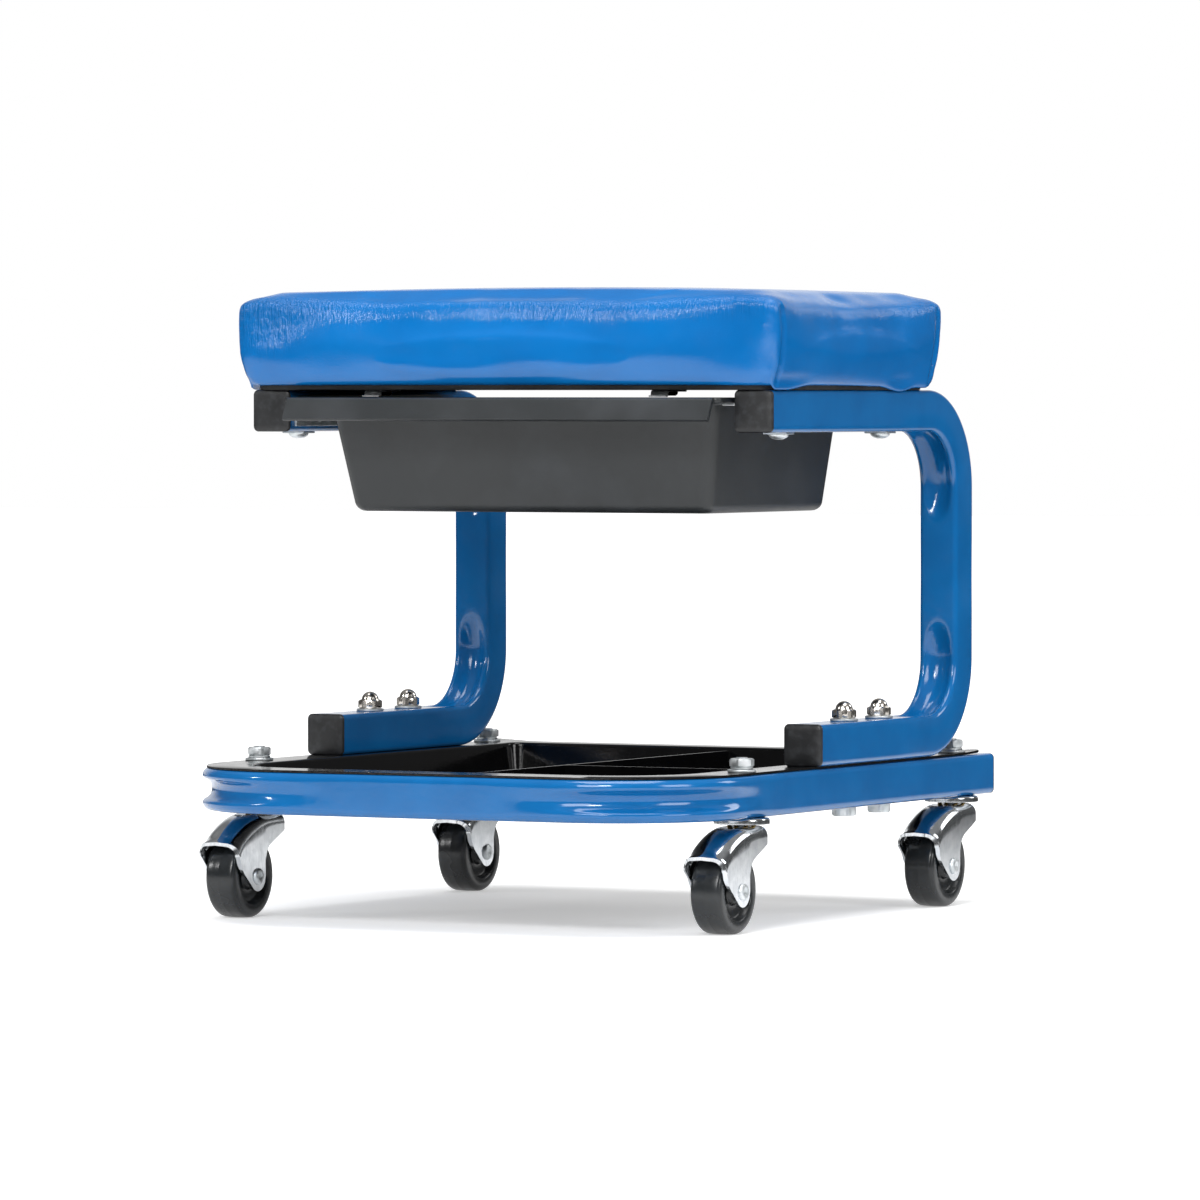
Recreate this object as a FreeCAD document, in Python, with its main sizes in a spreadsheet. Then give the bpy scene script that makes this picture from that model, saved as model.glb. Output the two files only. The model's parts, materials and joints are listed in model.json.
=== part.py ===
"""Rolling mechanic seat: a padded seat on two C-shaped square tubes, with a sliding bin under the
seat, a tray base of bent square tube and four swivel casters.

Frame: +X to the sitter's right, +Y to the rear, +Z up, origin on the floor under the middle of the
base.  Every length is in millimetres.
"""
import FreeCAD, Part
import math
import os
import re

import Sketcher
from FreeCAD import Placement, Rotation, Vector

SIZES = {
    # square tube of the side frames and the base
    "tube_side": 25.0, "tube_wall": 1.5, "tube_corner": 2.5,
    "seat_overhang": 14.5, "side_frame_height": 223.5, "arm_bend_radius": 47.0,
    "upper_arm_front": 94.5, "lower_arm_front": 29.0, "upright_set_in": 42.4,
    "dimple_depth": 5.0, "dimple_radius": 9.7,
    "cap_plate": 2.0, "cap_depth": 14.0, "cap_wall": 2.0, "cap_hollow_corner": 1.5, "plug_plate": 1.2,
    "plug_clearance": 0.15, "bore_corner_share": 0.8, "drill_run": 1.0,
    # base frame and tray
    "base_length": 429.2, "base_bend_radius": 67.5,
    "crush_depth": 7.0, "crush_radius": 7.5,
    "tray_sheet": 1.5, "tray_margin": 3.0, "flange_set_in": 10.4, "tray_rear_radius": 6.0,
    "pan_side_gap": 4.0, "pan_front_gap": 4.0, "pan_rear_set_in": 30.4, "pan_depth": 22.0,
    "pan_draft": 2.0, "pan_rear_radius": 9.0,
    "divider_sheet": 1.2, "divider_offset": 9.0, "divider_drop": 2.0, "divider_foot": 10.0,
    "cross_divider_place": 40.0, "divider_end_gap": 0.3,
    # bolts that clamp each lower arm on the base
    "bolt_first": 27.5, "bolt_pitch": 48.2, "bolt_diameter": 8.0, "bolt_clearance": 0.2,
    "hex_flats": 13.0, "bolt_head": 5.5, "bolt_washer": 17.0, "washer_sheet": 1.6, "dome_hex": 5.5,
    "dome_radius": 5.6, "dome_height": 5.0, "dome_bore_run": 0.5,
    # casters
    "caster_front_set_in": 105.6, "caster_rear_set_in": 34.4, "stem_diameter": 8.0, "stem_nut": 5.0,
    "stem_proud": 0.6, "spring_washer": 13.4, "spring_washer_sheet": 1.5,
    "race_diameter": 33.0, "race_sheet": 2.2, "race_rim": 1.5, "race_gap": 2.6, "ball_diameter": 3.2,
    "ball_circle": 15.4, "ball_count": 8, "ball_clearance": 0.2,
    "rivet_head": 13.0, "rivet_head_height": 3.0, "swivel_clearance": 0.08, "thrust_clearance": 0.3,
    "fork_width": 26.0, "fork_sheet": 2.0, "fork_shoulder": 3.5, "fork_rear": 11.0, "fork_skirt": 9.5,
    "fork_hood_start": 10.0, "fork_lip_reach": 53.0, "fork_hood_drop": 17.7, "fork_neck": 21.2,
    "fork_lobe": 9.0, "caster_trail": 24.0, "caster_head": 17.0,
    "wheel_diameter": 50.0, "wheel_width": 20.0, "wheel_edge": 3.0, "wheel_dish": 4.0,
    "wheel_rim": 17.0, "wheel_step": 1.5, "wheel_lip": 0.6, "wheel_boss": 8.0, "wheel_boss_taper": 1.0,
    "wheel_side_gap": 0.3, "axle_diameter": 6.0, "axle_clearance": 0.06,
    "axle_head": 10.0, "axle_head_height": 1.8, "axle_head_round": 1.0, "axle_dimple": 1.0,
    "dimple_mouth": 2.5,
    # seat
    "seat_width": 355.0, "seat_depth": 221.4, "seat_middle": 11.0, "seat_thickness": 55.5,
    "seat_flare": 6.0, "seat_front_flare": 4.0, "seat_draw": 2.5, "seat_corner": 12.0,
    "seat_edge": 7.0, "seat_edge_in": 2.3, "seat_crown": 6.5, "seat_hem": 2.0, "seat_hem_rise": 1.9,
    "hem_draw": 0.6, "roll_height": 4.0, "roll_out": 0.4, "shoulder_inset": 14.0, "shoulder_rise": 3.6,
    "slope_inset": 42.0, "slope_rise": 5.9, "slope_draw": 0.6, "crown_inset": 77.0, "crown_draw": 0.3,
    "cover_sheet": 0.6, "cover_inset": 10.0, "board_thickness": 9.0, "board_inset": 3.5,
    "board_corner": 14.0,
    "seat_screw_front": 61.0, "seat_screw_rear": 77.0, "screw_diameter": 6.0, "screw_clearance": 0.2,
    "screw_short": 1.0, "screw_head": 12.0, "screw_head_height": 3.2, "square_washer": 15.0,
    "square_washer_sheet": 1.2,
    "tee_nut_flange": 19.0, "tee_nut_sheet": 1.4, "tee_nut_barrel": 8.0, "tee_nut_height": 8.0,
    # bin under the seat
    "drawer_drop": 4.5, "rim_overhang": 15.7, "bin_taper": 10.9, "bin_height": 68.7,
    "bin_front": 82.0, "bin_rear": 89.5, "bin_front_draft": 12.7, "bin_rear_draft": 1.5,
    "bin_wall": 2.5, "bin_corner": 8.0, "bin_floor_radius": 5.0,
    "rim_sheet": 3.0, "rim_side_gap": 3.1, "rim_rear": 9.0, "rim_corner": 4.0,
    "lip_reach": 28.0, "skirt_height": 14.5, "skirt_slant": 7.5,
    "rail_sheet": 1.5, "rail_shelf": 11.0, "rail_leg": 14.0, "rail_front": 88.0, "rail_rear": 110.0,
    "rail_clearance": 0.3, "rivet_diameter": 4.0, "rivet_cap": 8.0, "rivet_cap_top": 2.7,
    "rivet_cap_height": 1.3, "rivet_tail": 3.0, "rivet_place": 60.0, "rivet_pitch": 135.0,
    "rivet_clearance": 0.1,
    # spring clips that hold the bin down at the front
    "clip_set_in": 50.4, "clip_width": 11.5, "clip_sheet": 1.0, "clip_front": 86.0, "clip_tab": 24.0,
    "clip_screw_place": 71.0, "clip_gap": 0.4, "clip_curl": 3.2,
    "clip_screw": 4.0, "clip_screw_head": 8.0, "clip_screw_head_height": 2.4,
    "clip_screw_length": 8.0,
}

doc = FreeCAD.newDocument("rolling_mechanic_seat")
sheet = doc.addObject("Spreadsheet::Sheet", "sizes")
for row, (alias, number) in enumerate(SIZES.items(), 1):
    sheet.set(f"A{row}", alias.replace("_", " "))
    sheet.set(f"B{row}", str(number))
    sheet.setAlias(f"B{row}", alias)
doc.recompute()

# heights, each in terms of the driving sizes
CASTER_TOP = "(wheel_diameter + caster_head)"
BASE_TOP = f"({CASTER_TOP} + tube_side)"
FLANGE_TOP = f"({BASE_TOP} + tray_sheet)"
LOWER_ARM_TOP = f"({FLANGE_TOP} + tube_side)"
ARM_TOP = f"({FLANGE_TOP} + side_frame_height)"
ARM_BOTTOM = f"({ARM_TOP} - tube_side)"
BOARD_BOTTOM = f"({ARM_TOP} + cover_sheet)"
BOARD_TOP = f"({BOARD_BOTTOM} + board_thickness)"
CUSHION_BOTTOM = f"({BOARD_BOTTOM} + seat_hem_rise)"
RIM_TOP = f"({ARM_TOP} - drawer_drop)"
RIM_BOTTOM = f"({RIM_TOP} - rim_sheet)"
RAIL_TOP = f"({RIM_BOTTOM} - rail_clearance)"
FORK_TOP = f"({CASTER_TOP} - race_sheet - race_gap)"
FORK_LIP = f"({FORK_TOP} - fork_hood_drop)"
AXLE_HEIGHT = "(wheel_diameter / 2)"
# the side tubes stand under the ends of the seat, and the base is as wide as they are apart
RIGHT = "(seat_width / 2 - seat_overhang)"
LEFT = f"(-{RIGHT})"
TUBE_INNER = f"({RIGHT} - tube_side / 2)"
BASE_OUTER = f"({RIGHT} + tube_side / 2)"
BASE_FRONT = "(-base_length / 2)"
BASE_REAR = "(base_length / 2 - plug_plate)"
UPRIGHT = f"({BASE_REAR} - upright_set_in)"
RIM_SIDE = f"({TUBE_INNER} - rim_side_gap)"
CLIP_CENTRE = f"({RIM_SIDE} - clip_set_in)"
THROUGH_TUBE = "(tube_side + 2 * drill_run)"

# two points closer than this are the same
TOUCH = 0.01

parts = {}


def linked(formula):
    """The formula with every size name turned into a reference to its cell."""
    return re.sub(r"[a-z][a-z_]*", lambda m: f"sizes.{m[0]}" if m[0] in SIZES else m[0], str(formula))


def value(formula):
    """The number that a formula gives with the present sizes."""
    return float(sheet.evalExpression(linked(formula)))


def bind(thing, **formulas):
    """Ties properties of an object to the sheet: Length="tube_side / 2"."""
    for name, formula in formulas.items():
        thing.setExpression(name, linked(formula))
    return thing


def place(thing, x="0", y="0", z="0"):
    """Ties an object's position to the sheet."""
    for axis, formula in zip("xyz", (x, y, z)):
        thing.setExpression(f".Placement.Base.{axis}", linked(formula))
    return thing


def keep(label, thing):
    """Names a finished sub-part, which is then written to its own file."""
    thing.Label = label
    parts[label] = thing
    return thing


def copy_of(label, master, x="0", y="0", z="0", turn=0.0):
    """A placed copy of a repeated sub-part."""
    doc.recompute()
    copy = doc.addObject("Part::Feature", label)
    copy.Shape = master.Shape.copy()
    copy.Placement = Placement(Vector(value(x), value(y), value(z)), Rotation(Vector(0, 0, 1), turn))
    place(copy, x, y, z)
    return keep(label, copy)


def group_of(label, master, places):
    """One node of identical separate pieces, at a list of (x, y, z) formulas."""
    doc.recompute()
    shapes = []
    for x, y, z in places:
        shape = master.Shape.copy()
        shape.translate(Vector(value(x), value(y), value(z)))
        shapes.append(shape)
    group = doc.addObject("Part::Feature", label)
    group.Shape = Part.makeCompound(shapes)
    return keep(label, group)


def new_body(name):
    return doc.addObject("PartDesign::Body", name)


def origin_feature(body, role):
    return next(f for f in body.Origin.OriginFeatures if f.Role == role)


def new_sketch(body, role, name, offset="0"):
    """A sketch on one of the body's own origin planes, moved along the plane's normal."""
    sketch = body.newObject("Sketcher::SketchObject", name)
    sketch.AttachmentSupport = [(origin_feature(body, role), "")]
    sketch.MapMode = "FlatFace"
    sketch.setExpression(".AttachmentOffset.Base.z", linked(offset))
    return sketch


def pin_point(sketch, geometry, end, x, y):
    """Dimensions one end of a line or arc from the sketch's origin."""
    for kind, axis, formula in (("DistanceX", -2, x), ("DistanceY", -1, y)):
        if str(formula) == "0":
            sketch.addConstraint(Sketcher.Constraint("PointOnObject", geometry, end, axis))
            continue
        index = sketch.addConstraint(Sketcher.Constraint(kind, -1, 1, geometry, end, value(formula)))
        sketch.setExpression(f"Constraints[{index}]", linked(formula))


def outline(sketch, corners, closed=True):
    """Lines and arcs through corners, each (x, y), or (x, y, radius, side) where an arc starts.

    Side is 1 for an arc that turns left and -1 for one that turns right.
    """
    points = [Vector(value(c[0]), value(c[1]), 0) for c in corners]
    spans = len(corners) if closed else len(corners) - 1
    drawn = []
    for i in range(spans):
        start, end = points[i], points[(i + 1) % len(points)]
        if len(corners[i]) == 2:
            drawn.append((sketch.addGeometry(Part.LineSegment(start, end)), 1, 2))
            continue
        radius, side = value(corners[i][2]), corners[i][3]
        chord = end - start
        rise = math.sqrt(max(radius ** 2 - (chord.Length / 2) ** 2, 0.0))
        centre = (start + end) * 0.5 + Vector(-chord.y, chord.x, 0).normalize() * rise * side
        first, last = (start, end) if side > 0 else (end, start)
        angles = [math.atan2(p.y - centre.y, p.x - centre.x) for p in (first, last)]
        arc = Part.ArcOfCircle(Part.Circle(centre, Vector(0, 0, 1), radius), *angles)
        geometry = sketch.addGeometry(arc)
        drawn.append((geometry, 1, 2) if side > 0 else (geometry, 2, 1))
        index = sketch.addConstraint(Sketcher.Constraint("Radius", geometry, radius))
        sketch.setExpression(f"Constraints[{index}]", linked(corners[i][2]))
    for i, (geometry, first, last) in enumerate(drawn):
        pin_point(sketch, geometry, first, corners[i][0], corners[i][1])
        if closed or i + 1 < spans:
            following, joint, _ = drawn[(i + 1) % len(drawn)]
            sketch.addConstraint(Sketcher.Constraint("Coincident", geometry, last, following, joint))
        else:
            pin_point(sketch, geometry, last, corners[-1][0], corners[-1][1])
    return sketch


def rounded_box(sketch, low_x, high_x, low_y, high_y, front="tube_corner", rear=None):
    """A rectangle with rounded corners: one radius for the low-y pair and one for the high-y pair."""
    front, rear = f"({front})", f"({rear or front})"
    return outline(sketch, [
        (f"{low_x} + {front}", low_y), (f"{high_x} - {front}", low_y, front, 1),
        (high_x, f"{low_y} + {front}"), (high_x, f"{high_y} - {rear}", rear, 1),
        (f"{high_x} - {rear}", high_y), (f"{low_x} + {rear}", high_y, rear, 1),
        (low_x, f"{high_y} - {rear}"), (low_x, f"{low_y} + {front}", front, 1)])


def circle(sketch, radius, x="0", y="0"):
    geometry = sketch.addGeometry(Part.Circle(Vector(value(x), value(y), 0), Vector(0, 0, 1), value(radius)))
    index = sketch.addConstraint(Sketcher.Constraint("Radius", geometry, value(radius)))
    sketch.setExpression(f"Constraints[{index}]", linked(radius))
    pin_point(sketch, geometry, 3, x, y)
    return sketch


def pad(body, sketch, length, symmetric=False, reverse=False, cut=False):
    """Pads a sketch, or pockets it, by a length along its normal."""
    feature = body.newObject("PartDesign::Pocket" if cut else "PartDesign::Pad", "Pad")
    feature.Profile = sketch
    feature.SideType = "Symmetric" if symmetric else "One side"
    feature.Reversed = reverse
    return bind(feature, Length=length)


def revolve(body, sketch, axis):
    feature = body.newObject("PartDesign::Revolution", "Revolution")
    feature.Profile = sketch
    feature.ReferenceAxis = (origin_feature(body, axis), [""])
    feature.Angle = 360.0
    return feature


def round_edges(body, wanted, radius):
    """Fillets the edges of the body so far whose middle passes a test."""
    doc.recompute()
    tip = body.Tip
    chosen = [f"Edge{i}" for i, e in enumerate(tip.Shape.Edges, 1)
              if wanted(e.valueAt((e.FirstParameter + e.LastParameter) / 2), e)]
    feature = body.newObject("PartDesign::Fillet", "Fillet")
    feature.Base = (tip, chosen)
    return bind(feature, Radius=radius)


def cylinder(radius, height, x="0", y="0", z="0", along="Z"):
    """A round bar from (x, y, z) along +X, +Y or +Z."""
    bar = bind(doc.addObject("Part::Cylinder", "Bar"), Radius=radius, Height=height)
    turns = {"X": Rotation(Vector(0, 1, 0), 90), "Y": Rotation(Vector(1, 0, 0), -90), "Z": Rotation()}
    bar.Placement = Placement(Vector(), turns[along])
    return place(bar, x, y, z)


def hexagon(flats, height, z="0"):
    prism = bind(doc.addObject("Part::Prism", "Hexagon"), Circumradius=f"{flats} / 2 / cos(30)",
                 Height=height)
    return place(prism, "0", "0", z)


def fused(pieces):
    joined = doc.addObject("Part::MultiFuse", "Joined")
    joined.Shapes = pieces
    return joined


def cut(base, tools):
    result = doc.addObject("Part::Cut", "Cut")
    result.Base = base
    result.Tool = tools[0] if len(tools) == 1 else fused(tools)
    return result


def torus(major, minor, x, y, z, rotation, sweep=360.0):
    ring = bind(doc.addObject("Part::Torus", "Ring"), Radius1=major, Radius2=minor)
    ring.Angle3 = sweep
    ring.Placement = Placement(Vector(), rotation)
    return place(ring, x, y, z)


def ring_of(outer, inner, height, z="0"):
    """A plain washer standing on z."""
    return cut(cylinder(f"{outer} / 2", height, z=z), [cylinder(inner, height, z=z)])


# side frames: one square tube bent to a C that opens to the front

UPPER_START = "(-upper_arm_front + cap_plate)"
LOWER_START = "(-lower_arm_front + cap_plate)"
UPPER_AXIS = f"({ARM_TOP} - tube_side / 2)"
LOWER_AXIS = f"({FLANGE_TOP} + tube_side / 2)"
BEND_CENTRE = f"({UPRIGHT} - arm_bend_radius)"
FRAME_BOLTS = ["bolt_first", "bolt_first + bolt_pitch"]
SEAT_SCREWS = ["-seat_screw_front", "seat_screw_rear"]
RAIL_RIVETS = ["-rivet_place", "rivet_pitch - rivet_place"]


def side_tube_bar(name, inset):
    """The C as a solid bar of the tube's section, drawn in by inset."""
    body = new_body(name)
    path = outline(new_sketch(body, "YZ_Plane", f"{name}_path"), [
        (LOWER_START, LOWER_AXIS), (BEND_CENTRE, LOWER_AXIS, "arm_bend_radius", 1),
        (UPRIGHT, f"{LOWER_AXIS} + arm_bend_radius"),
        (UPRIGHT, f"{UPPER_AXIS} - arm_bend_radius", "arm_bend_radius", 1),
        (BEND_CENTRE, UPPER_AXIS), (UPPER_START, UPPER_AXIS)], closed=False)
    half = f"(tube_side / 2 - {inset})"
    corner = f"(tube_corner - {inset} * bore_corner_share)"
    section = new_sketch(body, "XZ_Plane", f"{name}_section", f"-{LOWER_START}")
    rounded_box(section, f"-{half}", half, f"{LOWER_AXIS} - {half}", f"{LOWER_AXIS} + {half}", corner)
    pipe = body.newObject("PartDesign::AdditivePipe", f"{name}_pipe")
    pipe.Profile = section
    pipe.Spine = (path, [f"Edge{i}" for i in range(1, 6)])
    return body


def dimples(grow):
    """The pressed oval hollow inside each bend of the C, as two rings about the bends' centres."""
    upright = Rotation(Vector(0, 1, 0), 90)
    ring_radius = "arm_bend_radius - tube_side / 2 - dimple_radius + dimple_depth"
    return [torus(ring_radius, f"dimple_radius + {grow}", "0", BEND_CENTRE, height, upright)
            for height in (f"{LOWER_AXIS} + arm_bend_radius", f"{UPPER_AXIS} - arm_bend_radius")]


def side_tube(sign):
    """One hollow side tube with its dimpled bends, bolt holes, screw holes and rivet holes."""
    bore = cut(side_tube_bar("side_bore", "tube_wall"), dimples("tube_wall"))
    outside = cut(side_tube_bar("side_bar", "0"), dimples("0"))
    drills = [cylinder("bolt_diameter / 2 + bolt_clearance", THROUGH_TUBE, y=y,
                       z=f"{FLANGE_TOP} - drill_run") for y in FRAME_BOLTS]
    drills += [cylinder("screw_diameter / 2 + screw_clearance", THROUGH_TUBE, y=y,
                        z=f"{ARM_BOTTOM} - drill_run") for y in SEAT_SCREWS]
    reach = "tube_wall + 2 * drill_run"
    start = "-tube_side / 2 - drill_run" if sign > 0 else "tube_side / 2 - tube_wall - drill_run"
    drills += [cylinder("rivet_diameter / 2 + rivet_clearance", reach, start, y,
                        f"{RAIL_TOP} - rail_leg / 2 - rail_sheet / 2", "X") for y in RAIL_RIVETS]
    return cut(cut(outside, [bore]), drills)


for side, sign, centre in (("left", -1, LEFT), ("right", 1, RIGHT)):
    keep(f"{side}_side_tube", place(side_tube(sign), x=centre))


def tube_cap(name, plate):
    """A moulded end cap: a square plate with rounded corners and a hollow plug, facing -Y at Y = 0."""
    body = new_body(name)
    half = "(tube_side / 2)"
    face = rounded_box(new_sketch(body, "XZ_Plane", f"{name}_face"), f"-{half}", half, f"-{half}", half)
    pad(body, face, plate, reverse=True)
    inner = "(tube_side / 2 - tube_wall - plug_clearance)"
    plug = new_sketch(body, "XZ_Plane", f"{name}_plug", f"-{plate}")
    rounded_box(plug, f"-{inner}", inner, f"-{inner}", inner, "tube_corner")
    pad(body, plug, "cap_depth", reverse=True)
    hollow = f"({inner} - cap_wall)"
    socket = new_sketch(body, "XZ_Plane", f"{name}_hollow", f"-{plate}")
    rounded_box(socket, f"-{hollow}", hollow, f"-{hollow}", hollow, "cap_hollow_corner")
    pad(body, socket, "cap_depth", cut=True)
    return body


arm_cap = tube_cap("arm_cap", "cap_plate")
end_plug = tube_cap("end_plug", "plug_plate")
for side, centre in (("left", LEFT), ("right", RIGHT)):
    copy_of(f"{side}_upper_cap", arm_cap, centre, "-upper_arm_front", UPPER_AXIS)
    copy_of(f"{side}_lower_cap", arm_cap, centre, "-lower_arm_front", LOWER_AXIS)
    copy_of(f"{side}_base_plug", end_plug, centre, "base_length / 2", f"{CASTER_TOP} + tube_side / 2",
            turn=180)

# base frame: a U of the same tube with crushed front bends, open to the rear

BASE_AXIS = f"({CASTER_TOP} + tube_side / 2)"
FRONT_AXIS = f"({BASE_FRONT} + tube_side / 2)"
BASE_BEND_X = f"({RIGHT} - base_bend_radius)"
BASE_BEND_Y = f"({FRONT_AXIS} + base_bend_radius)"
CASTER_FRONT = f"({BASE_FRONT} + caster_front_set_in)"
CASTER_REAR = f"({BASE_REAR} - caster_rear_set_in)"
CASTERS = {"front_left": (LEFT, CASTER_FRONT), "front_right": (RIGHT, CASTER_FRONT),
           "rear_left": (LEFT, CASTER_REAR), "rear_right": (RIGHT, CASTER_REAR)}


def base_bar(name, inset):
    """The U as a solid bar of the tube's section, drawn in by inset."""
    body = new_body(name)
    path = outline(new_sketch(body, "XY_Plane", f"{name}_path", BASE_AXIS), [
        (LEFT, BASE_REAR), (LEFT, BASE_BEND_Y, "base_bend_radius", 1),
        (f"-{BASE_BEND_X}", FRONT_AXIS), (BASE_BEND_X, FRONT_AXIS, "base_bend_radius", 1),
        (RIGHT, BASE_BEND_Y), (RIGHT, BASE_REAR)], closed=False)
    half = f"(tube_side / 2 - {inset})"
    section = new_sketch(body, "XZ_Plane", f"{name}_section", f"-{BASE_REAR}")
    rounded_box(section, f"{LEFT} - {half}", f"{LEFT} + {half}", f"{BASE_AXIS} - {half}",
                f"{BASE_AXIS} + {half}", f"(tube_corner - {inset} * bore_corner_share)")
    pipe = body.newObject("PartDesign::AdditivePipe", f"{name}_pipe")
    pipe.Profile = section
    pipe.Spine = (path, [f"Edge{i}" for i in range(1, 6)])
    return body


def crushed_bends(grow):
    """The groove where the outer wall of each front bend has folded in.

    It follows an arc flatter than the bend, so it is deepest at the middle of the bend and runs out
    to nothing at its two ends.
    """
    outer = "(base_bend_radius + tube_side / 2)"
    shift = "(crush_depth / (1 - cos(45)))"
    major = f"{outer} - crush_depth + {shift} + crush_radius"
    grooves = []
    for sign, start in ((-1, 180), (1, 270)):
        x = f"{sign} * ({BASE_BEND_X} - {shift} * cos(45))"
        grooves.append(torus(major, f"crush_radius + {grow}", x, f"{BASE_BEND_Y} + {shift} * cos(45)",
                             BASE_AXIS, Rotation(Vector(0, 0, 1), start), 90.0))
    return grooves


base_tube = cut(cut(base_bar("base_bar", "0"), crushed_bends("0")),
                [cut(base_bar("base_bore", "tube_wall"), crushed_bends("tube_wall"))])
BASE_DRILL = f"({CASTER_TOP} - drill_run)"
base_drills = [cylinder("stem_diameter / 2 + bolt_clearance", THROUGH_TUBE, x, y, BASE_DRILL)
               for x, y in CASTERS.values()]
base_drills += [cylinder("bolt_diameter / 2 + bolt_clearance", THROUGH_TUBE, x, y, BASE_DRILL)
                for x in (LEFT, RIGHT) for y in FRAME_BOLTS]
keep("base_frame", cut(base_tube, base_drills))

# tray: a pressed sheet pan that hangs by its flange on the base frame, with two welded dividers

PAN_SIDE = f"({TUBE_INNER} - pan_side_gap)"
PAN_FRONT = f"({BASE_FRONT} + tube_side + pan_front_gap)"
PAN_REAR = f"({BASE_REAR} - pan_rear_set_in)"
PAN_CORNER = "(base_bend_radius - tube_side / 2 - pan_front_gap / 2)"
PAN_FLOOR = f"({FLANGE_TOP} - pan_depth)"


def pan_section(body, name, inset, height):
    """The pan's outline at one height, drawn in by inset."""
    sketch = new_sketch(body, "XY_Plane", name, height)
    return rounded_box(sketch, f"-{PAN_SIDE} + {inset}", f"{PAN_SIDE} - {inset}", f"{PAN_FRONT} + {inset}",
                       f"{PAN_REAR} - {inset}", f"({PAN_CORNER} - {inset})",
                       f"(pan_rear_radius - {inset} / 2)")


def loft(body, name, first, second, cutting=False):
    kind = "PartDesign::SubtractiveLoft" if cutting else "PartDesign::AdditiveLoft"
    feature = body.newObject(kind, name)
    feature.Profile = first
    feature.Sections = [second]
    feature.Ruled = True
    return feature


tray = new_body("tray")
flange_edge = f"({BASE_OUTER} - tray_margin)"
flange = new_sketch(tray, "XY_Plane", "tray_flange", BASE_TOP)
rounded_box(flange, f"-{flange_edge}", flange_edge, f"{BASE_FRONT} + tray_margin",
            f"{BASE_REAR} - flange_set_in", "(base_bend_radius + tube_side / 2 - tray_margin)",
            "tray_rear_radius")
pad(tray, flange, "tray_sheet")
loft(tray, "tray_pan", pan_section(tray, "pan_top", "0", FLANGE_TOP),
     pan_section(tray, "pan_bottom", "pan_draft", f"{PAN_FLOOR}"))
loft(tray, "tray_hollow", pan_section(tray, "hollow_top", "tray_sheet", FLANGE_TOP),
     pan_section(tray, "hollow_bottom", "(pan_draft + tray_sheet)", f"{PAN_FLOOR} + tray_sheet"), True)
holes = new_sketch(tray, "XY_Plane", "tray_holes", BASE_TOP)
for x, y in CASTERS.values():
    circle(holes, "stem_diameter / 2 + bolt_clearance", x, y)
for x in (LEFT, RIGHT):
    for y in FRAME_BOLTS:
        circle(holes, "bolt_diameter / 2 + bolt_clearance", x, y)
pad(tray, holes, "tray_sheet", cut=True, reverse=True)
keep("tool_tray", tray)

DIVIDER_BOTTOM = f"({PAN_FLOOR} + tray_sheet)"
DIVIDER_TOP = f"({FLANGE_TOP} - divider_drop)"
END_GAP = "(pan_draft + tray_sheet + divider_end_gap)"


def angle_strip(body, name, role, foot_sign, across, offset):
    """The L section of a divider: an upright sheet with a foot that is welded to the pan's floor."""
    sketch = new_sketch(body, role, name, offset)
    edge = f"{across} + {foot_sign} * divider_foot"
    face = f"{across} + {foot_sign} * divider_sheet"
    corners = [(across, DIVIDER_BOTTOM), (edge, DIVIDER_BOTTOM), (edge, f"{DIVIDER_BOTTOM} + divider_sheet"),
               (face, f"{DIVIDER_BOTTOM} + divider_sheet"), (face, DIVIDER_TOP), (across, DIVIDER_TOP)]
    return outline(sketch, corners)


long_divider = new_body("long_divider")
pad(long_divider, angle_strip(long_divider, "long_section", "XZ_Plane", -1, "divider_offset",
                              f"-({PAN_FRONT} + {END_GAP})"),
    f"{PAN_REAR} - {END_GAP} - {PAN_FRONT} - {END_GAP}", reverse=True)
keep("tray_long_divider", long_divider)

cross_divider = new_body("cross_divider")
pad(cross_divider, angle_strip(cross_divider, "cross_section", "YZ_Plane", 1, "-cross_divider_place",
                               "divider_offset"), f"{PAN_SIDE} - {END_GAP} - divider_offset")
keep("tray_cross_divider", cross_divider)

# bolts, washers and dome nuts that clamp the lower arms, the tray flange and the base together

frame_bolt = fused([hexagon("hex_flats", "bolt_head", f"{CASTER_TOP} - bolt_head"),
                    cylinder("bolt_diameter / 2", z=CASTER_TOP,
                             height=f"{LOWER_ARM_TOP} + washer_sheet + dome_hex - {CASTER_TOP}")])
arm_washer = ring_of("bolt_washer", "bolt_diameter / 2 + bolt_clearance", "washer_sheet", LOWER_ARM_TOP)
NUT_BOTTOM = f"({LOWER_ARM_TOP} + washer_sheet)"


def dome_nut():
    """A cap nut: a hexagon under a round dome, with a blind bore for the bolt."""
    body = new_body("dome")
    top = f"{NUT_BOTTOM} + dome_hex"
    sphere = "(dome_radius^2 + dome_height^2) / (2 * dome_height)"
    crown = outline(new_sketch(body, "XZ_Plane", "dome_profile"), [
        ("0", top), ("dome_radius", top, sphere, 1), ("0", f"{top} + dome_height")])
    revolve(body, crown, "Z_Axis")
    return cut(fused([hexagon("hex_flats", "dome_hex", NUT_BOTTOM), body]),
               [cylinder("bolt_diameter / 2 + bolt_clearance / 2", "dome_hex + dome_bore_run",
                         z=NUT_BOTTOM)])


bolt_places = [(x, y, "0") for x in (LEFT, RIGHT) for y in FRAME_BOLTS]
group_of("frame_bolts", frame_bolt, bolt_places)
group_of("frame_washers", arm_washer, bolt_places)
group_of("frame_dome_nuts", dome_nut(), bolt_places)

# casters: a threaded stem with its fixed race, loose balls, a pressed fork, an axle and a wheel

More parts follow.
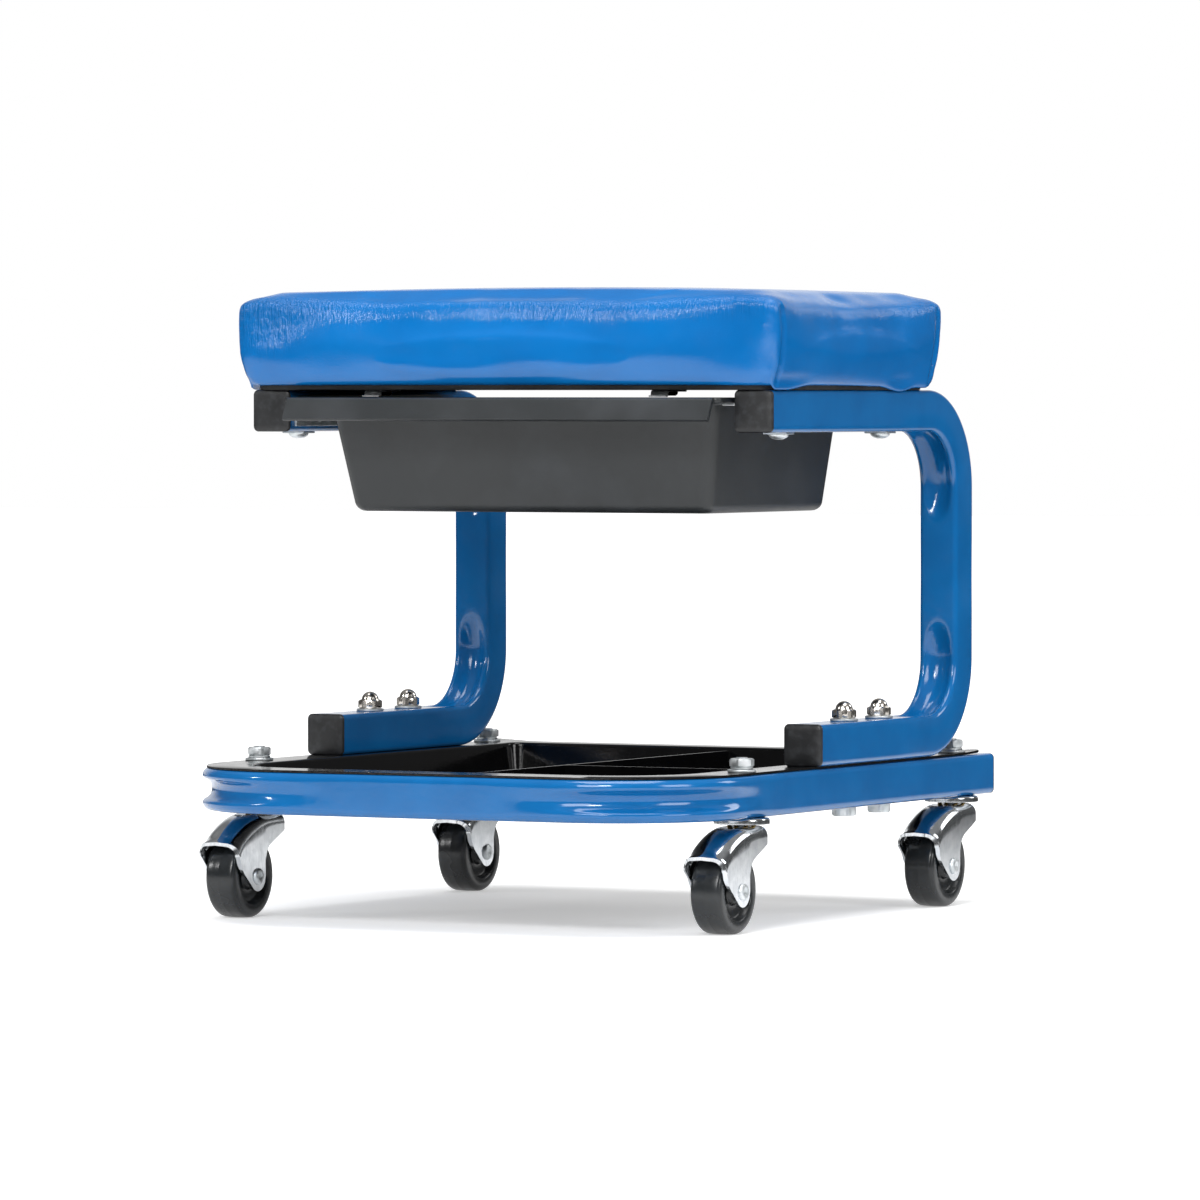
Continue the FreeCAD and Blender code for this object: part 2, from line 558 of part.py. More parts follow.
RACE_BOTTOM = f"({CASTER_TOP} - race_sheet)"
BALL_HEIGHT = f"({RACE_BOTTOM} - race_gap / 2)"
WASHER_TOP = f"({FLANGE_TOP} + washer_sheet)"
NUT_SEAT = f"({WASHER_TOP} + spring_washer_sheet)"
HEAD_TOP = f"({FORK_TOP} - fork_sheet - thrust_clearance)"


def ball_groove():
    """The ring-shaped track that the balls run in, between the race and the fork."""
    return torus("ball_circle / 2", "ball_diameter / 2 + ball_clearance", "0", "0", BALL_HEIGHT, Rotation())


stem = fused([cylinder("rivet_head / 2", "rivet_head_height", z=f"{HEAD_TOP} - rivet_head_height"),
              cylinder("stem_diameter / 2", f"{NUT_SEAT} + stem_nut + stem_proud - {HEAD_TOP}", z=HEAD_TOP)])


def race_plate():
    """The fixed race: a round plate with a turned-down rim over the balls."""
    body = new_body("race")
    bore, edge = "stem_diameter / 2 + bolt_clearance / 2", "race_diameter / 2"
    profile = outline(new_sketch(body, "XZ_Plane", "race_profile"), [
        (bore, RACE_BOTTOM), (f"{edge} - race_rim", RACE_BOTTOM),
        (f"{edge} - race_rim", f"{RACE_BOTTOM} - race_rim"), (edge, f"{RACE_BOTTOM} - race_rim"),
        (edge, f"{CASTER_TOP} - race_rim", "race_rim", 1), (f"{edge} - race_rim", CASTER_TOP),
        (bore, CASTER_TOP)])
    revolve(body, profile, "Z_Axis")
    return cut(body, [ball_groove()])


def fork():
    """A pressed fork: a flat head over the balls that sweeps into a hood, and two tapering cheeks."""
    body = new_body("fork_shell")
    run, drop = value("fork_lip_reach - fork_hood_start"), value("fork_hood_drop")
    hood = (run ** 2 + drop ** 2) / (2 * drop)
    trail, axle, lobe = value("caster_trail"), value(AXLE_HEIGHT), value("fork_lobe")
    across, up = value("fork_lip_reach") - trail, value(FORK_LIP) - axle
    lean = math.atan2(up, -across) + math.acos(lobe / math.hypot(across, up))
    touch_y, touch_z = -trail + lobe * math.cos(lean), axle + lobe * math.sin(lean)
    side = outline(new_sketch(body, "YZ_Plane", "fork_side"), [
        ("fork_rear", FORK_TOP), ("-fork_hood_start", FORK_TOP, str(hood), 1),
        ("-fork_lip_reach", FORK_LIP), (str(touch_y), str(touch_z), "fork_lobe", 1),
        ("-caster_trail + fork_lobe", AXLE_HEIGHT), ("-caster_trail + fork_lobe", f"{FORK_TOP} - fork_neck"),
        ("fork_rear", f"{FORK_TOP} - fork_skirt")])
    pad(body, side, "fork_width", symmetric=True)
    half, lip, fork_end = value("fork_width / 2"), value(FORK_LIP), value("fork_lobe")

    def shoulder(middle, edge):
        """The upper edges of both cheeks, along the head and the hood."""
        along = abs(edge.Vertexes[0].X - edge.Vertexes[-1].X) < TOUCH
        above = min(v.Z for v in edge.Vertexes) > lip - TOUCH and middle.z > lip + TOUCH
        return along and above and abs(abs(middle.x) - half) < TOUCH and edge.Length > 2 * fork_end

    round_edges(body, shoulder, "fork_shoulder")
    sheet_metal = value("fork_sheet")
    inner = hood - sheet_metal
    beyond = value("fork_lip_reach") + sheet_metal
    fall = inner - math.sqrt(inner ** 2 - (beyond - value("fork_hood_start")) ** 2)
    roof = f"{FORK_TOP} - fork_sheet"
    throat = outline(new_sketch(body, "YZ_Plane", "fork_throat"), [
        ("fork_rear + drill_run", roof), ("-fork_hood_start", roof, str(inner), 1),
        ("-fork_lip_reach - fork_sheet", f"{roof} - {fall}"), ("-fork_lip_reach - fork_sheet", "0"),
        ("fork_rear + drill_run", "0")])
    pad(body, throat, "fork_width - 2 * fork_sheet", symmetric=True, cut=True)
    axle_hole = cylinder("axle_diameter / 2 + axle_clearance", "fork_width + 2 * drill_run",
                         "-fork_width / 2 - drill_run", "-caster_trail", AXLE_HEIGHT, "X")
    stem_hole = cylinder("stem_diameter / 2 + swivel_clearance", "fork_sheet + 2 * drill_run",
                         z=f"{roof} - drill_run")
    return cut(body, [axle_hole, stem_hole, ball_groove()])


def wheel():
    """A moulded wheel on the X axis: rounded tread edges, a dished side and a boss round the bore."""
    body = new_body("wheel_disc")
    bore, tread = "axle_diameter / 2 + axle_clearance", "wheel_diameter / 2"
    boss_end = "(fork_width / 2 - fork_sheet - wheel_side_gap)"
    half, floor = "(wheel_width / 2)", "(wheel_width / 2 - wheel_dish)"
    right = [(boss_end, bore), (boss_end, "wheel_boss - wheel_boss_taper"), (floor, "wheel_boss"),
             (floor, "wheel_rim - wheel_step"), (f"{half} - wheel_lip", "wheel_rim"),
             (half, f"{tread} - wheel_edge", "wheel_edge", 1), (f"{half} - wheel_edge", tread)]
    left = [(f"-{half} + wheel_edge", tread, "wheel_edge", 1), (f"-{half}", f"{tread} - wheel_edge"),
            (f"-{half} + wheel_lip", "wheel_rim"), (f"-{floor}", "wheel_rim - wheel_step"),
            (f"-{floor}", "wheel_boss"),
            (f"-{boss_end}", "wheel_boss - wheel_boss_taper"), (f"-{boss_end}", bore)]
    revolve(body, outline(new_sketch(body, "XZ_Plane", "wheel_profile"), right + left), "X_Axis")
    return body


def axle():
    """A riveted axle on the X axis, with a low round head outside each cheek and a dimple in it."""
    body = new_body("axle_rivet")
    cheek, end = "(fork_width / 2)", "(fork_width / 2 + axle_head_height)"
    shank, head = "axle_diameter / 2", "axle_head / 2"
    right = [(cheek, shank), (cheek, head), (f"{cheek} + axle_head_height / 2", head),
             (end, "axle_head / 2 - axle_head_round"), (end, "dimple_mouth"), (f"{end} - axle_dimple", "0")]
    left = [(f"-{end} + axle_dimple", "0"), (f"-{end}", "dimple_mouth"),
            (f"-{end}", "axle_head / 2 - axle_head_round"),
            (f"-{cheek} - axle_head_height / 2", head), (f"-{cheek}", head), (f"-{cheek}", shank)]
    revolve(body, outline(new_sketch(body, "XZ_Plane", "axle_profile"), right + left), "X_Axis")
    return body


def ball_ring():
    """The loose balls of one caster, evenly round the stem."""
    count = int(value("ball_count"))
    ring = value("ball_circle / 2")
    spots = [2 * math.pi * i / count for i in range(count)]
    return Part.makeCompound([Part.makeSphere(value("ball_diameter / 2"), Vector(
        ring * math.cos(a), ring * math.sin(a), value(BALL_HEIGHT))) for a in spots])


race_shape, fork_shape, wheel_shape, axle_shape = race_plate(), fork(), wheel(), axle()
balls = doc.addObject("Part::Feature", "ball_ring")
balls.Shape = ball_ring()
for corner, (x, y) in CASTERS.items():
    copy_of(f"{corner}_stem", stem, x, y)
    copy_of(f"{corner}_race", race_shape, x, y)
    copy_of(f"{corner}_balls", balls, x, y)
    copy_of(f"{corner}_fork", fork_shape, x, y)
    copy_of(f"{corner}_axle", axle_shape, x, f"{y} - caster_trail", AXLE_HEIGHT)
    copy_of(f"{corner}_wheel", wheel_shape, x, f"{y} - caster_trail", AXLE_HEIGHT)

stem_nut = cut(hexagon("hex_flats", "stem_nut", NUT_SEAT),
               [cylinder("stem_diameter / 2 + bolt_clearance / 2", "stem_nut", z=NUT_SEAT)])
stem_washer = ring_of("bolt_washer", "stem_diameter / 2 + bolt_clearance", "washer_sheet", FLANGE_TOP)
lock_washer = ring_of("spring_washer", "stem_diameter / 2 + bolt_clearance", "spring_washer_sheet",
                      WASHER_TOP)
stem_places = [(x, y, "0") for x, y in CASTERS.values()]
group_of("caster_nuts", stem_nut, stem_places)
group_of("caster_lock_washers", lock_washer, stem_places)
group_of("caster_washers", stem_washer, stem_places)

# seat: a plywood board in a crowned cushion, with a dust cover, tee nuts and screws from below

SCREW_PLACES = [(x, y, "0") for x in (LEFT, RIGHT) for y in SEAT_SCREWS]
SEAT_FRONT, SEAT_REAR = "(seat_middle - seat_depth / 2)", "(seat_middle + seat_depth / 2)"


def seat_plate(name, inset, corner, bottom, thickness, hole=None):
    """A flat sheet under the seat, drawn in from the cushion's lower edge, with or without screw holes."""
    body = new_body(name)
    side = f"(seat_width / 2 - {inset})"
    sketch = new_sketch(body, "XY_Plane", f"{name}_outline", bottom)
    rounded_box(sketch, f"-{side}", side, f"{SEAT_FRONT} + {inset}", f"{SEAT_REAR} - {inset}", corner)
    for x, y, _ in SCREW_PLACES if hole else []:
        circle(sketch, hole, x, y)
    pad(body, sketch, thickness)
    return body


pilot_places = [(f"-{CLIP_CENTRE}", "-clip_screw_place"), (CLIP_CENTRE, "-clip_screw_place")]
dust_cover = seat_plate("dust_cover", "cover_inset", "board_corner", ARM_TOP, "cover_sheet",
                        "screw_diameter / 2 + screw_clearance")
cover_holes = [cylinder("clip_screw / 2 + screw_clearance", "cover_sheet", x, y, ARM_TOP)
               for x, y in pilot_places]
keep("seat_dust_cover", cut(dust_cover, cover_holes))
board = seat_plate("board", "board_inset", "board_corner", BOARD_BOTTOM, "board_thickness",
                   "tee_nut_barrel / 2 + screw_clearance")
recesses = [cylinder("tee_nut_flange / 2 + screw_clearance", "tee_nut_sheet + drill_run", x, y,
                     f"{BOARD_TOP} - tee_nut_sheet") for x, y, _ in SCREW_PLACES]
pilots = [cylinder("clip_screw / 2", "clip_screw_length", x, y, BOARD_BOTTOM) for x, y in pilot_places]
keep("seat_board", cut(board, recesses + pilots))


def cushion_section(inset_x, inset_y, height, draw):
    """One level of the cushion: rounded corners and sides bowed in at the middle by draw."""
    half_x, half_y = value(f"seat_width / 2 - ({inset_x})"), value(f"seat_depth / 2 - ({inset_y})")
    corner, middle, z = value("seat_corner"), value("seat_middle"), value(height)
    bow = value(draw)
    diagonal = corner * (1 - math.cos(math.pi / 4))
    edges = []
    for turn in range(4):
        along, out = (half_x, half_y) if turn % 2 == 0 else (half_y, half_x)
        spots = [(-along + corner, -out), (0, -out + bow), (along - corner, -out),
                 (along - diagonal, -out + diagonal), (along, -out + corner)]
        angle = turn * math.pi / 2
        turned = [Vector(x * math.cos(angle) - y * math.sin(angle),
                         middle + x * math.sin(angle) + y * math.cos(angle), z) for x, y in spots]
        edges += [Part.Arc(*turned[0:3]).toShape(), Part.Arc(*turned[2:5]).toShape()]
    return Part.Wire(edges)


def cushion():
    """The padded block: sides that flare upward and draw in, a rolled top edge and a crowned top."""
    top = f"{CUSHION_BOTTOM} + seat_thickness"
    side = f"{CUSHION_BOTTOM} + (seat_thickness - seat_edge)"
    levels = [("seat_hem", "seat_hem", CUSHION_BOTTOM, "hem_draw"),
              ("-roll_out", "-roll_out", f"{CUSHION_BOTTOM} + roll_height", "seat_draw / 2"),
              ("-seat_flare / 2", "-seat_front_flare / 2", f"{CUSHION_BOTTOM} + seat_thickness / 2",
               "seat_draw"),
              ("-seat_flare", "-seat_front_flare", side, "seat_draw"),
              ("-seat_flare + seat_edge_in", "-seat_front_flare + seat_edge_in", top, "seat_draw"),
              ("shoulder_inset", "shoulder_inset", f"{top} + shoulder_rise", "seat_draw / 2"),
              ("slope_inset", "slope_inset", f"{top} + slope_rise", "slope_draw"),
              ("crown_inset", "crown_inset", f"{top} + seat_crown", "crown_draw")]
    return Part.makeLoft([cushion_section(*level) for level in levels], True, True)


seat_form = doc.addObject("Part::Feature", "cushion_form")
seat_form.Shape = cushion()
board_room = seat_plate("board_room", "board_inset", "board_corner", f"{CUSHION_BOTTOM} - drill_run",
                        f"{BOARD_TOP} - {CUSHION_BOTTOM} + drill_run")
keep("seat_cushion", cut(seat_form, [board_room]))


def tee_nut():
    """A flanged barrel let into the board from above, with a plain bore for the screw."""
    barrel = fused([cylinder("tee_nut_flange / 2", "tee_nut_sheet", z=f"{BOARD_TOP} - tee_nut_sheet"),
                    cylinder("tee_nut_barrel / 2", "tee_nut_height", z=f"{BOARD_TOP} - tee_nut_height")])
    return cut(barrel, [cylinder("screw_diameter / 2 + screw_clearance / 2", "tee_nut_height",
                                 z=f"{BOARD_TOP} - tee_nut_height")])


SCREW_SEAT = f"({ARM_BOTTOM} - square_washer_sheet)"
seat_screw = fused([cylinder("screw_head / 2", "screw_head_height", z=f"{SCREW_SEAT} - screw_head_height"),
                    cylinder("screw_diameter / 2", f"{BOARD_TOP} - screw_short - {SCREW_SEAT}",
                             z=SCREW_SEAT)])
washer_plate = bind(doc.addObject("Part::Box", "square_washer_plate"), Length="square_washer",
                    Width="square_washer", Height="square_washer_sheet")
place(washer_plate, "-square_washer / 2", "-square_washer / 2", SCREW_SEAT)
square_washer = cut(washer_plate, [cylinder("screw_diameter / 2 + screw_clearance", "square_washer_sheet",
                                            z=SCREW_SEAT)])
group_of("seat_tee_nuts", tee_nut(), SCREW_PLACES)
group_of("seat_screws", seat_screw, SCREW_PLACES)
group_of("seat_square_washers", square_washer, SCREW_PLACES)

# bin: a moulded open box with a rim that slides on two angle rails, and a pull lip at the front

BIN_BOTTOM = f"({RIM_TOP} - bin_height)"


def bin_section(body, name, inset, share, height):
    """The bin's outline at a height that is a share of the way from the rim down to the floor."""
    side = f"({RIM_SIDE} - rim_overhang - bin_taper * {share} - {inset})"
    front = f"-bin_front + bin_front_draft * {share} + {inset}"
    rear = f"bin_rear - bin_rear_draft * {share} - {inset}"
    sketch = new_sketch(body, "XY_Plane", name, height)
    return rounded_box(sketch, f"-{side}", side, front, rear, f"(bin_corner - {inset} / 2)")


def drawer_bin():
    body = new_body("bin")
    loft(body, "bin_outside", bin_section(body, "bin_top", "0", "0", RIM_TOP),
         bin_section(body, "bin_foot", "0", "1", BIN_BOTTOM))
    low = value(BIN_BOTTOM)
    round_edges(body, lambda middle, edge: all(abs(v.Z - low) < TOUCH for v in edge.Vertexes),
                "bin_floor_radius")
    rim = new_sketch(body, "XY_Plane", "bin_rim", RIM_BOTTOM)
    rounded_box(rim, f"-{RIM_SIDE}", RIM_SIDE, "-bin_front - lip_reach", "bin_rear + rim_rear", "rim_corner")
    pad(body, rim, "rim_sheet")
    skirt = outline(new_sketch(body, "YZ_Plane", "bin_skirt"), [
        ("-bin_front - lip_reach", RIM_TOP),
        ("-bin_front - lip_reach - skirt_slant", f"{RIM_TOP} - skirt_height"),
        ("-bin_front - lip_reach - skirt_slant + bin_wall", f"{RIM_TOP} - skirt_height"),
        ("-bin_front - lip_reach + bin_wall", RIM_TOP)])
    pad(body, skirt, f"2 * {RIM_SIDE} - 2 * rim_corner", symmetric=True)
    floor = f"({BIN_BOTTOM} + bin_wall)"
    share = "(1 - bin_wall / bin_height)"
    loft(body, "bin_hollow", bin_section(body, "hollow_top", "bin_wall", "0", RIM_TOP),
         bin_section(body, "hollow_foot", "bin_wall", share, floor), True)
    return body


keep("drawer_bin", drawer_bin())

for side, sign in (("left", -1), ("right", 1)):
    rail = new_body(f"{side}_rail")
    wall, tip = f"{sign} * {TUBE_INNER}", f"{sign} * ({TUBE_INNER} - rail_shelf)"
    inner = f"{sign} * ({TUBE_INNER} - rail_sheet)"
    section = outline(new_sketch(rail, "XZ_Plane", f"{side}_rail_section", "rail_front"), [
        (wall, RAIL_TOP), (tip, RAIL_TOP), (tip, f"{RAIL_TOP} - rail_sheet"),
        (inner, f"{RAIL_TOP} - rail_sheet"), (inner, f"{RAIL_TOP} - rail_leg"),
        (wall, f"{RAIL_TOP} - rail_leg")])
    pad(rail, section, "rail_front + rail_rear", reverse=True)
    drills = [cylinder("rivet_diameter / 2 + rivet_clearance", "rail_sheet + 2 * drill_run",
                       f"{sign} * ({TUBE_INNER} - rail_sheet / 2) - rail_sheet / 2 - drill_run", y,
                       f"{RAIL_TOP} - rail_leg / 2 - rail_sheet / 2", "X") for y in RAIL_RIVETS]
    keep(f"{side}_drawer_rail", cut(rail, drills))


def rail_rivets():
    """The blind rivets that hold both rails on the inner faces of the upper arms."""
    rivets = []
    reach = value("rail_sheet + tube_wall + rivet_tail")
    face = value(f"{TUBE_INNER} - rail_sheet")
    for sign in (-1, 1):
        for y in RAIL_RIVETS:
            base = Vector(sign * face, value(y), value(f"{RAIL_TOP} - rail_leg / 2 - rail_sheet / 2"))
            out = Vector(sign, 0, 0)
            shank = Part.makeCylinder(value("rivet_diameter / 2"), reach, base, out)
            cap = Part.makeCone(value("rivet_cap / 2"), value("rivet_cap_top"), value("rivet_cap_height"),
                                base, out * -1)
            rivets.append(shank.fuse(cap))
    return Part.makeCompound(rivets)


rivets = doc.addObject("Part::Feature", "rail_rivets")
rivets.Shape = rail_rivets()
keep("rail_rivets", rivets)


def stop_clip():
    """A spring strip under the front of the board, with a nose that presses just above the bin's rim."""
    body = new_body("clip")
    nose = f"({RIM_TOP} + clip_gap)"
    back = "-clip_front + clip_tab"
    fold = f"({ARM_TOP} - clip_sheet)"
    profile = outline(new_sketch(body, "YZ_Plane", "clip_profile"), [
        (back, ARM_TOP), ("-clip_front", ARM_TOP), ("-clip_front", f"{nose} + clip_sheet"),
        ("-clip_front - clip_curl", f"{nose} + clip_sheet"), ("-clip_front - clip_curl", nose),
        ("-clip_front + clip_sheet", nose), ("-clip_front + clip_sheet", fold), (back, fold)])
    pad(body, profile, "clip_width", symmetric=True)
    return cut(body, [cylinder("clip_screw / 2 + screw_clearance", "clip_sheet + 2 * drill_run", "0",
                               "-clip_screw_place", f"{fold} - drill_run")])


clip_shape = stop_clip()
HEAD_SEAT = f"({ARM_TOP} - clip_sheet)"
clip_screw = fused([cylinder("clip_screw_head / 2", "clip_screw_head_height",
                             z=f"{HEAD_SEAT} - clip_screw_head_height"),
                    cylinder("clip_screw / 2", "clip_sheet + cover_sheet + clip_screw_length", z=HEAD_SEAT)])
copy_of("left_stop_clip", clip_shape, f"-{CLIP_CENTRE}")
copy_of("right_stop_clip", clip_shape, CLIP_CENTRE)
group_of("clip_screws", clip_screw, [(x, y, "0") for x, y in pilot_places])

doc.recompute()
failed = [thing.Label for thing in doc.Objects if {"Invalid", "Error"} & set(thing.State)]
if failed:
    raise RuntimeError(f"did not build: {failed}")
unsound = [label for label, thing in parts.items()
           if thing.Shape.isNull() or not thing.Shape.isValid() or not thing.Shape.Solids]
if unsound:
    raise RuntimeError(f"not sound solids: {unsound}")
os.makedirs("parts", exist_ok=True)
for label, thing in parts.items():
    thing.Shape.exportStep(f"parts/{label}.step")
print(f"{len(parts)} sub-parts written")
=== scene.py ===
"""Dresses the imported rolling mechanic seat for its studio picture.

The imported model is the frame: each class below builds the finished surfaces of one sub-assembly in
the frame's own place and hangs them on its bodies.  Sizes are in millimetres in the row frame, with
+X to the sitter's right, +Y to the rear and +Z up from the floor.
"""
import json
import logging
import math
from dataclasses import dataclass
from enum import Enum

import bmesh
import bpy
import numpy as np
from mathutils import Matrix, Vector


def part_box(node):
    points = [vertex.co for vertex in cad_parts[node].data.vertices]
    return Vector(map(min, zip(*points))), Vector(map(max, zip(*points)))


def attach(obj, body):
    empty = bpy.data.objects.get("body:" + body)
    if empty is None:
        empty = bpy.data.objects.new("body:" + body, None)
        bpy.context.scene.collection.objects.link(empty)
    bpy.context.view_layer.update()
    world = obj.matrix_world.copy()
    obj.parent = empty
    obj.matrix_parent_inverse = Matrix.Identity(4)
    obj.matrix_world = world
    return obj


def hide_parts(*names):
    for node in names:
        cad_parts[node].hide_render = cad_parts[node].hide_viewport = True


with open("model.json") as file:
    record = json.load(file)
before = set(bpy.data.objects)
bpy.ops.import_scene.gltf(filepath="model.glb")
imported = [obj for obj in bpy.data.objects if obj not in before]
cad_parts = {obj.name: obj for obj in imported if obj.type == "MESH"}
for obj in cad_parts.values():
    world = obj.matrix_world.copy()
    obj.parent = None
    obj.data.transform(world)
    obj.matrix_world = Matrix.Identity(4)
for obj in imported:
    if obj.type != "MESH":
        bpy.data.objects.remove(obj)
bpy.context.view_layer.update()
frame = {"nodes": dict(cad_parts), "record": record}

LOG = logging.getLogger("mechanic_seat")
MM = 0.001
WELD = 0.002  # millimetres within which points become one
FLAT_RING = 4.0  # width of the flat ring inside a floor's bend
QUARTER = np.linspace(0, math.pi / 2, 6)
BODY_OF = {node: body for body, nodes in frame["record"]["behaviour"]["bodies"].items() for node in nodes}
Array = np.ndarray
Place = tuple[float, float, float]


class Side(Enum):
    """The two mirrored halves of the seat, with the sign of their X."""

    LEFT = -1
    RIGHT = 1

    @property
    def word(self) -> str:
        """The side's name as the nodes spell it."""
        return self.name.lower()


def linear(colour: str) -> tuple[float, float, float, float]:
    """Turns an sRGB hex colour to linear light.

    Args:
        colour: the colour as "#RRGGBB".

    Returns:
        Linear red, green and blue with an alpha of 1.
    """
    srgb = np.array([int(colour[i:i + 2], 16) for i in (1, 3, 5)]) / 255
    light = np.where(srgb <= 0.04045, srgb / 12.92, ((srgb + 0.055) / 1.055) ** 2.4)
    return (*light.tolist(), 1.0)


def per_metre(size: float) -> float:
    """The texture scale whose pattern repeats about every size millimetres."""
    return 1 / (size * MM)


def add_node(tree: bpy.types.NodeTree, kind: str, inputs: dict | None = None,
             stops: tuple[tuple[float, str], ...] = (), **settings) -> bpy.types.Node:
    """Adds one node with its settings and links.

    Args:
        tree: the node tree that gets the node.
        kind: Blender's name of the node type.
        inputs: input socket to a value, or to the output socket that is linked to it.
        stops: places and hex colours along the node's colour ramp, if it has one.
        settings: properties of the node itself.

    Returns:
        The new node.
    """
    node = tree.nodes.new(kind)
    for name, setting in settings.items():
        setattr(node, name, setting)
    for element, (at, colour) in zip(node.color_ramp.elements if stops else (), stops):
        element.position, element.color = at, linear(colour)
    for socket, source in (inputs or {}).items():
        if isinstance(source, bpy.types.NodeSocket):
            tree.links.new(source, node.inputs[socket])
        else:
            node.inputs[socket].default_value = source
    return node


@dataclass(frozen=True)
class Finish:
    """A surface finish: a material that is made once and named for what it is made of."""

    name: str
    slot: str

    def material(self) -> bpy.types.Material:
        """Gives the finish's material, which is made at its first use.

        Returns:
            The material.
        """
        made = bpy.data.materials.get(self.name)
        if made is None:
            made = bpy.data.materials.new(self.name)
            made.use_nodes = True
            tree = made.node_tree
            self.dress(tree, tree.nodes["Principled BSDF"])
        return made

    def dress(self, tree: bpy.types.NodeTree, shader: bpy.types.Node) -> None:
        """Sets the shader's sockets and links the finish's patterns to it.

        Args:
            tree: the material's node tree.
            shader: its Principled shader.
        """
        raise NotImplementedError

    def mottle(self, tree: bpy.types.NodeTree, size: float, stretch: Place = (1, 1, 1),
               detail: float = 3.0) -> bpy.types.NodeSocket:
        """Adds a noise that is laid out in the piece's own place.

        Args:
            tree: the finish's node tree.
            size: the noise's grain in millimetres.
            stretch: how much longer the grain is along X, Y and Z.
            detail: octaves of finer noise.

        Returns:
            The noise's value socket, about 0.5 on average.
        """
        place = add_node(tree, "ShaderNodeTexCoord")
        laid = add_node(tree, "ShaderNodeMapping", {
            "Vector": place.outputs["Object"], "Scale": tuple(1 / s for s in stretch)})
        noise = add_node(tree, "ShaderNodeTexNoise", {
            "Vector": laid.outputs["Vector"], "Scale": per_metre(size), "Detail": detail})
        return noise.outputs["Fac"]

    def skin(self, tree: bpy.types.NodeTree, shader: bpy.types.Node, clouds: bpy.types.NodeSocket,
             stops: tuple[tuple[float, str], ...], height: bpy.types.NodeSocket, depth: float,
             sheen: bpy.types.NodeSocket, roughness: tuple[float, float],
             under: bpy.types.NodeSocket | None = None) -> None:
        """Gives the shader a colour that drifts between two tones, a relief and an uneven gloss.

        The roughness goes from its first value to its second as its pattern goes from 0.3 to 0.7.

        Args:
            tree: the finish's node tree.
            shader: its Principled shader.
            clouds: the pattern that the colour follows.
            stops: the pattern's value and the hex colour of each tone.
            height: the pattern that is raised.
            depth: how far it stands up, in millimetres.
            sheen: the pattern that the roughness follows.
            roughness: its lowest and highest value.
            under: the normal of a finer relief that the raised pattern lies on.
        """
        tone = add_node(tree, "ShaderNodeValToRGB", {"Fac": clouds}, stops)
        base = {} if under is None else {"Normal": under}
        raised = add_node(tree, "ShaderNodeBump", {
            "Height": height, "Distance": depth * MM, "Strength": 1.0, **base})
        gloss = add_node(tree, "ShaderNodeMapRange", {
            "Value": sheen, "From Min": 0.3, "From Max": 0.7, "To Min": roughness[0], "To Max": roughness[1]})
        tree.links.new(tone.outputs["Color"], shader.inputs["Base Color"])
        tree.links.new(raised.outputs["Normal"], shader.inputs["Normal"])
        tree.links.new(gloss.outputs["Result"], shader.inputs["Roughness"])


@dataclass(frozen=True)
class GrainedVinyl(Finish):
    """Calendered PVC upholstery: a glossy skin with a fine pressed grain that creases in short lines."""

    colour: str = "#006AB2"
    shade: str = "#0061A6"
    grain: float = 1.3
    grain_depth: float = 0.035
    crease: float = 2.2
    crease_depth: float = 4.0

    def dress(self, tree: bpy.types.NodeTree, shader: bpy.types.Node) -> None:
        """Grain cells all over, and stretched crease lines where the cover's crease attribute is set.

        Args:
            tree: the material's node tree.
            shader: its Principled shader.
        """
        place = add_node(tree, "ShaderNodeTexCoord")
        cells = add_node(tree, "ShaderNodeTexVoronoi", {
            "Vector": place.outputs["Object"], "Scale": per_metre(self.grain)}, feature="SMOOTH_F1")
        pebbled = add_node(tree, "ShaderNodeBump", {
            "Height": cells.outputs["Distance"], "Distance": self.grain_depth * MM, "Strength": 1.0})
        lines = self.mottle(tree, self.crease, (1, 1, 7), 4.0)
        ridge = add_node(tree, "ShaderNodeMath", {0: lines, 1: 0.5}, operation="SUBTRACT")
        fold = add_node(tree, "ShaderNodeMath", {0: ridge.outputs[0]}, operation="ABSOLUTE")
        mask = add_node(tree, "ShaderNodeAttribute", attribute_name="crease")
        worn = add_node(tree, "ShaderNodeMath", {0: fold.outputs[0], 1: mask.outputs["Fac"]},
                        operation="MULTIPLY")
        self.skin(tree, shader, self.mottle(tree, 60), ((0.35, self.shade), (0.65, self.colour)),
                  worn.outputs[0], self.crease_depth, self.mottle(tree, 14), (0.15, 0.22),
                  pebbled.outputs["Normal"])
        shader.inputs["IOR"].default_value = 1.53
        shader.inputs["Specular IOR Level"].default_value = 0.5


@dataclass(frozen=True)
class PowderCoat(Finish):
    """Baked powder paint on steel: smooth and glossy, with a shallow orange peel."""

    colour: str = "#0E65A4"
    shade: str = "#0C5E9B"
    peel: float = 3.2
    roughness: tuple[float, float] = (0.1, 0.16)
    gloss: float = 0.15
    specular: float = 0.45

    def dress(self, tree: bpy.types.NodeTree, shader: bpy.types.Node) -> None:
        """A cloudy tone, orange-peel relief and a slightly uneven gloss under a clear top.

        Args:
            tree: the material's node tree.
            shader: its Principled shader.
        """
        self.skin(tree, shader, self.mottle(tree, 35), ((0.35, self.shade), (0.65, self.colour)),
                  self.mottle(tree, self.peel, detail=1.0), 0.035, self.mottle(tree, 9), self.roughness)
        shader.inputs["IOR"].default_value = 1.5
        shader.inputs["Specular IOR Level"].default_value = self.specular
        shader.inputs["Coat Weight"].default_value = self.gloss
        shader.inputs["Coat Roughness"].default_value = 0.08


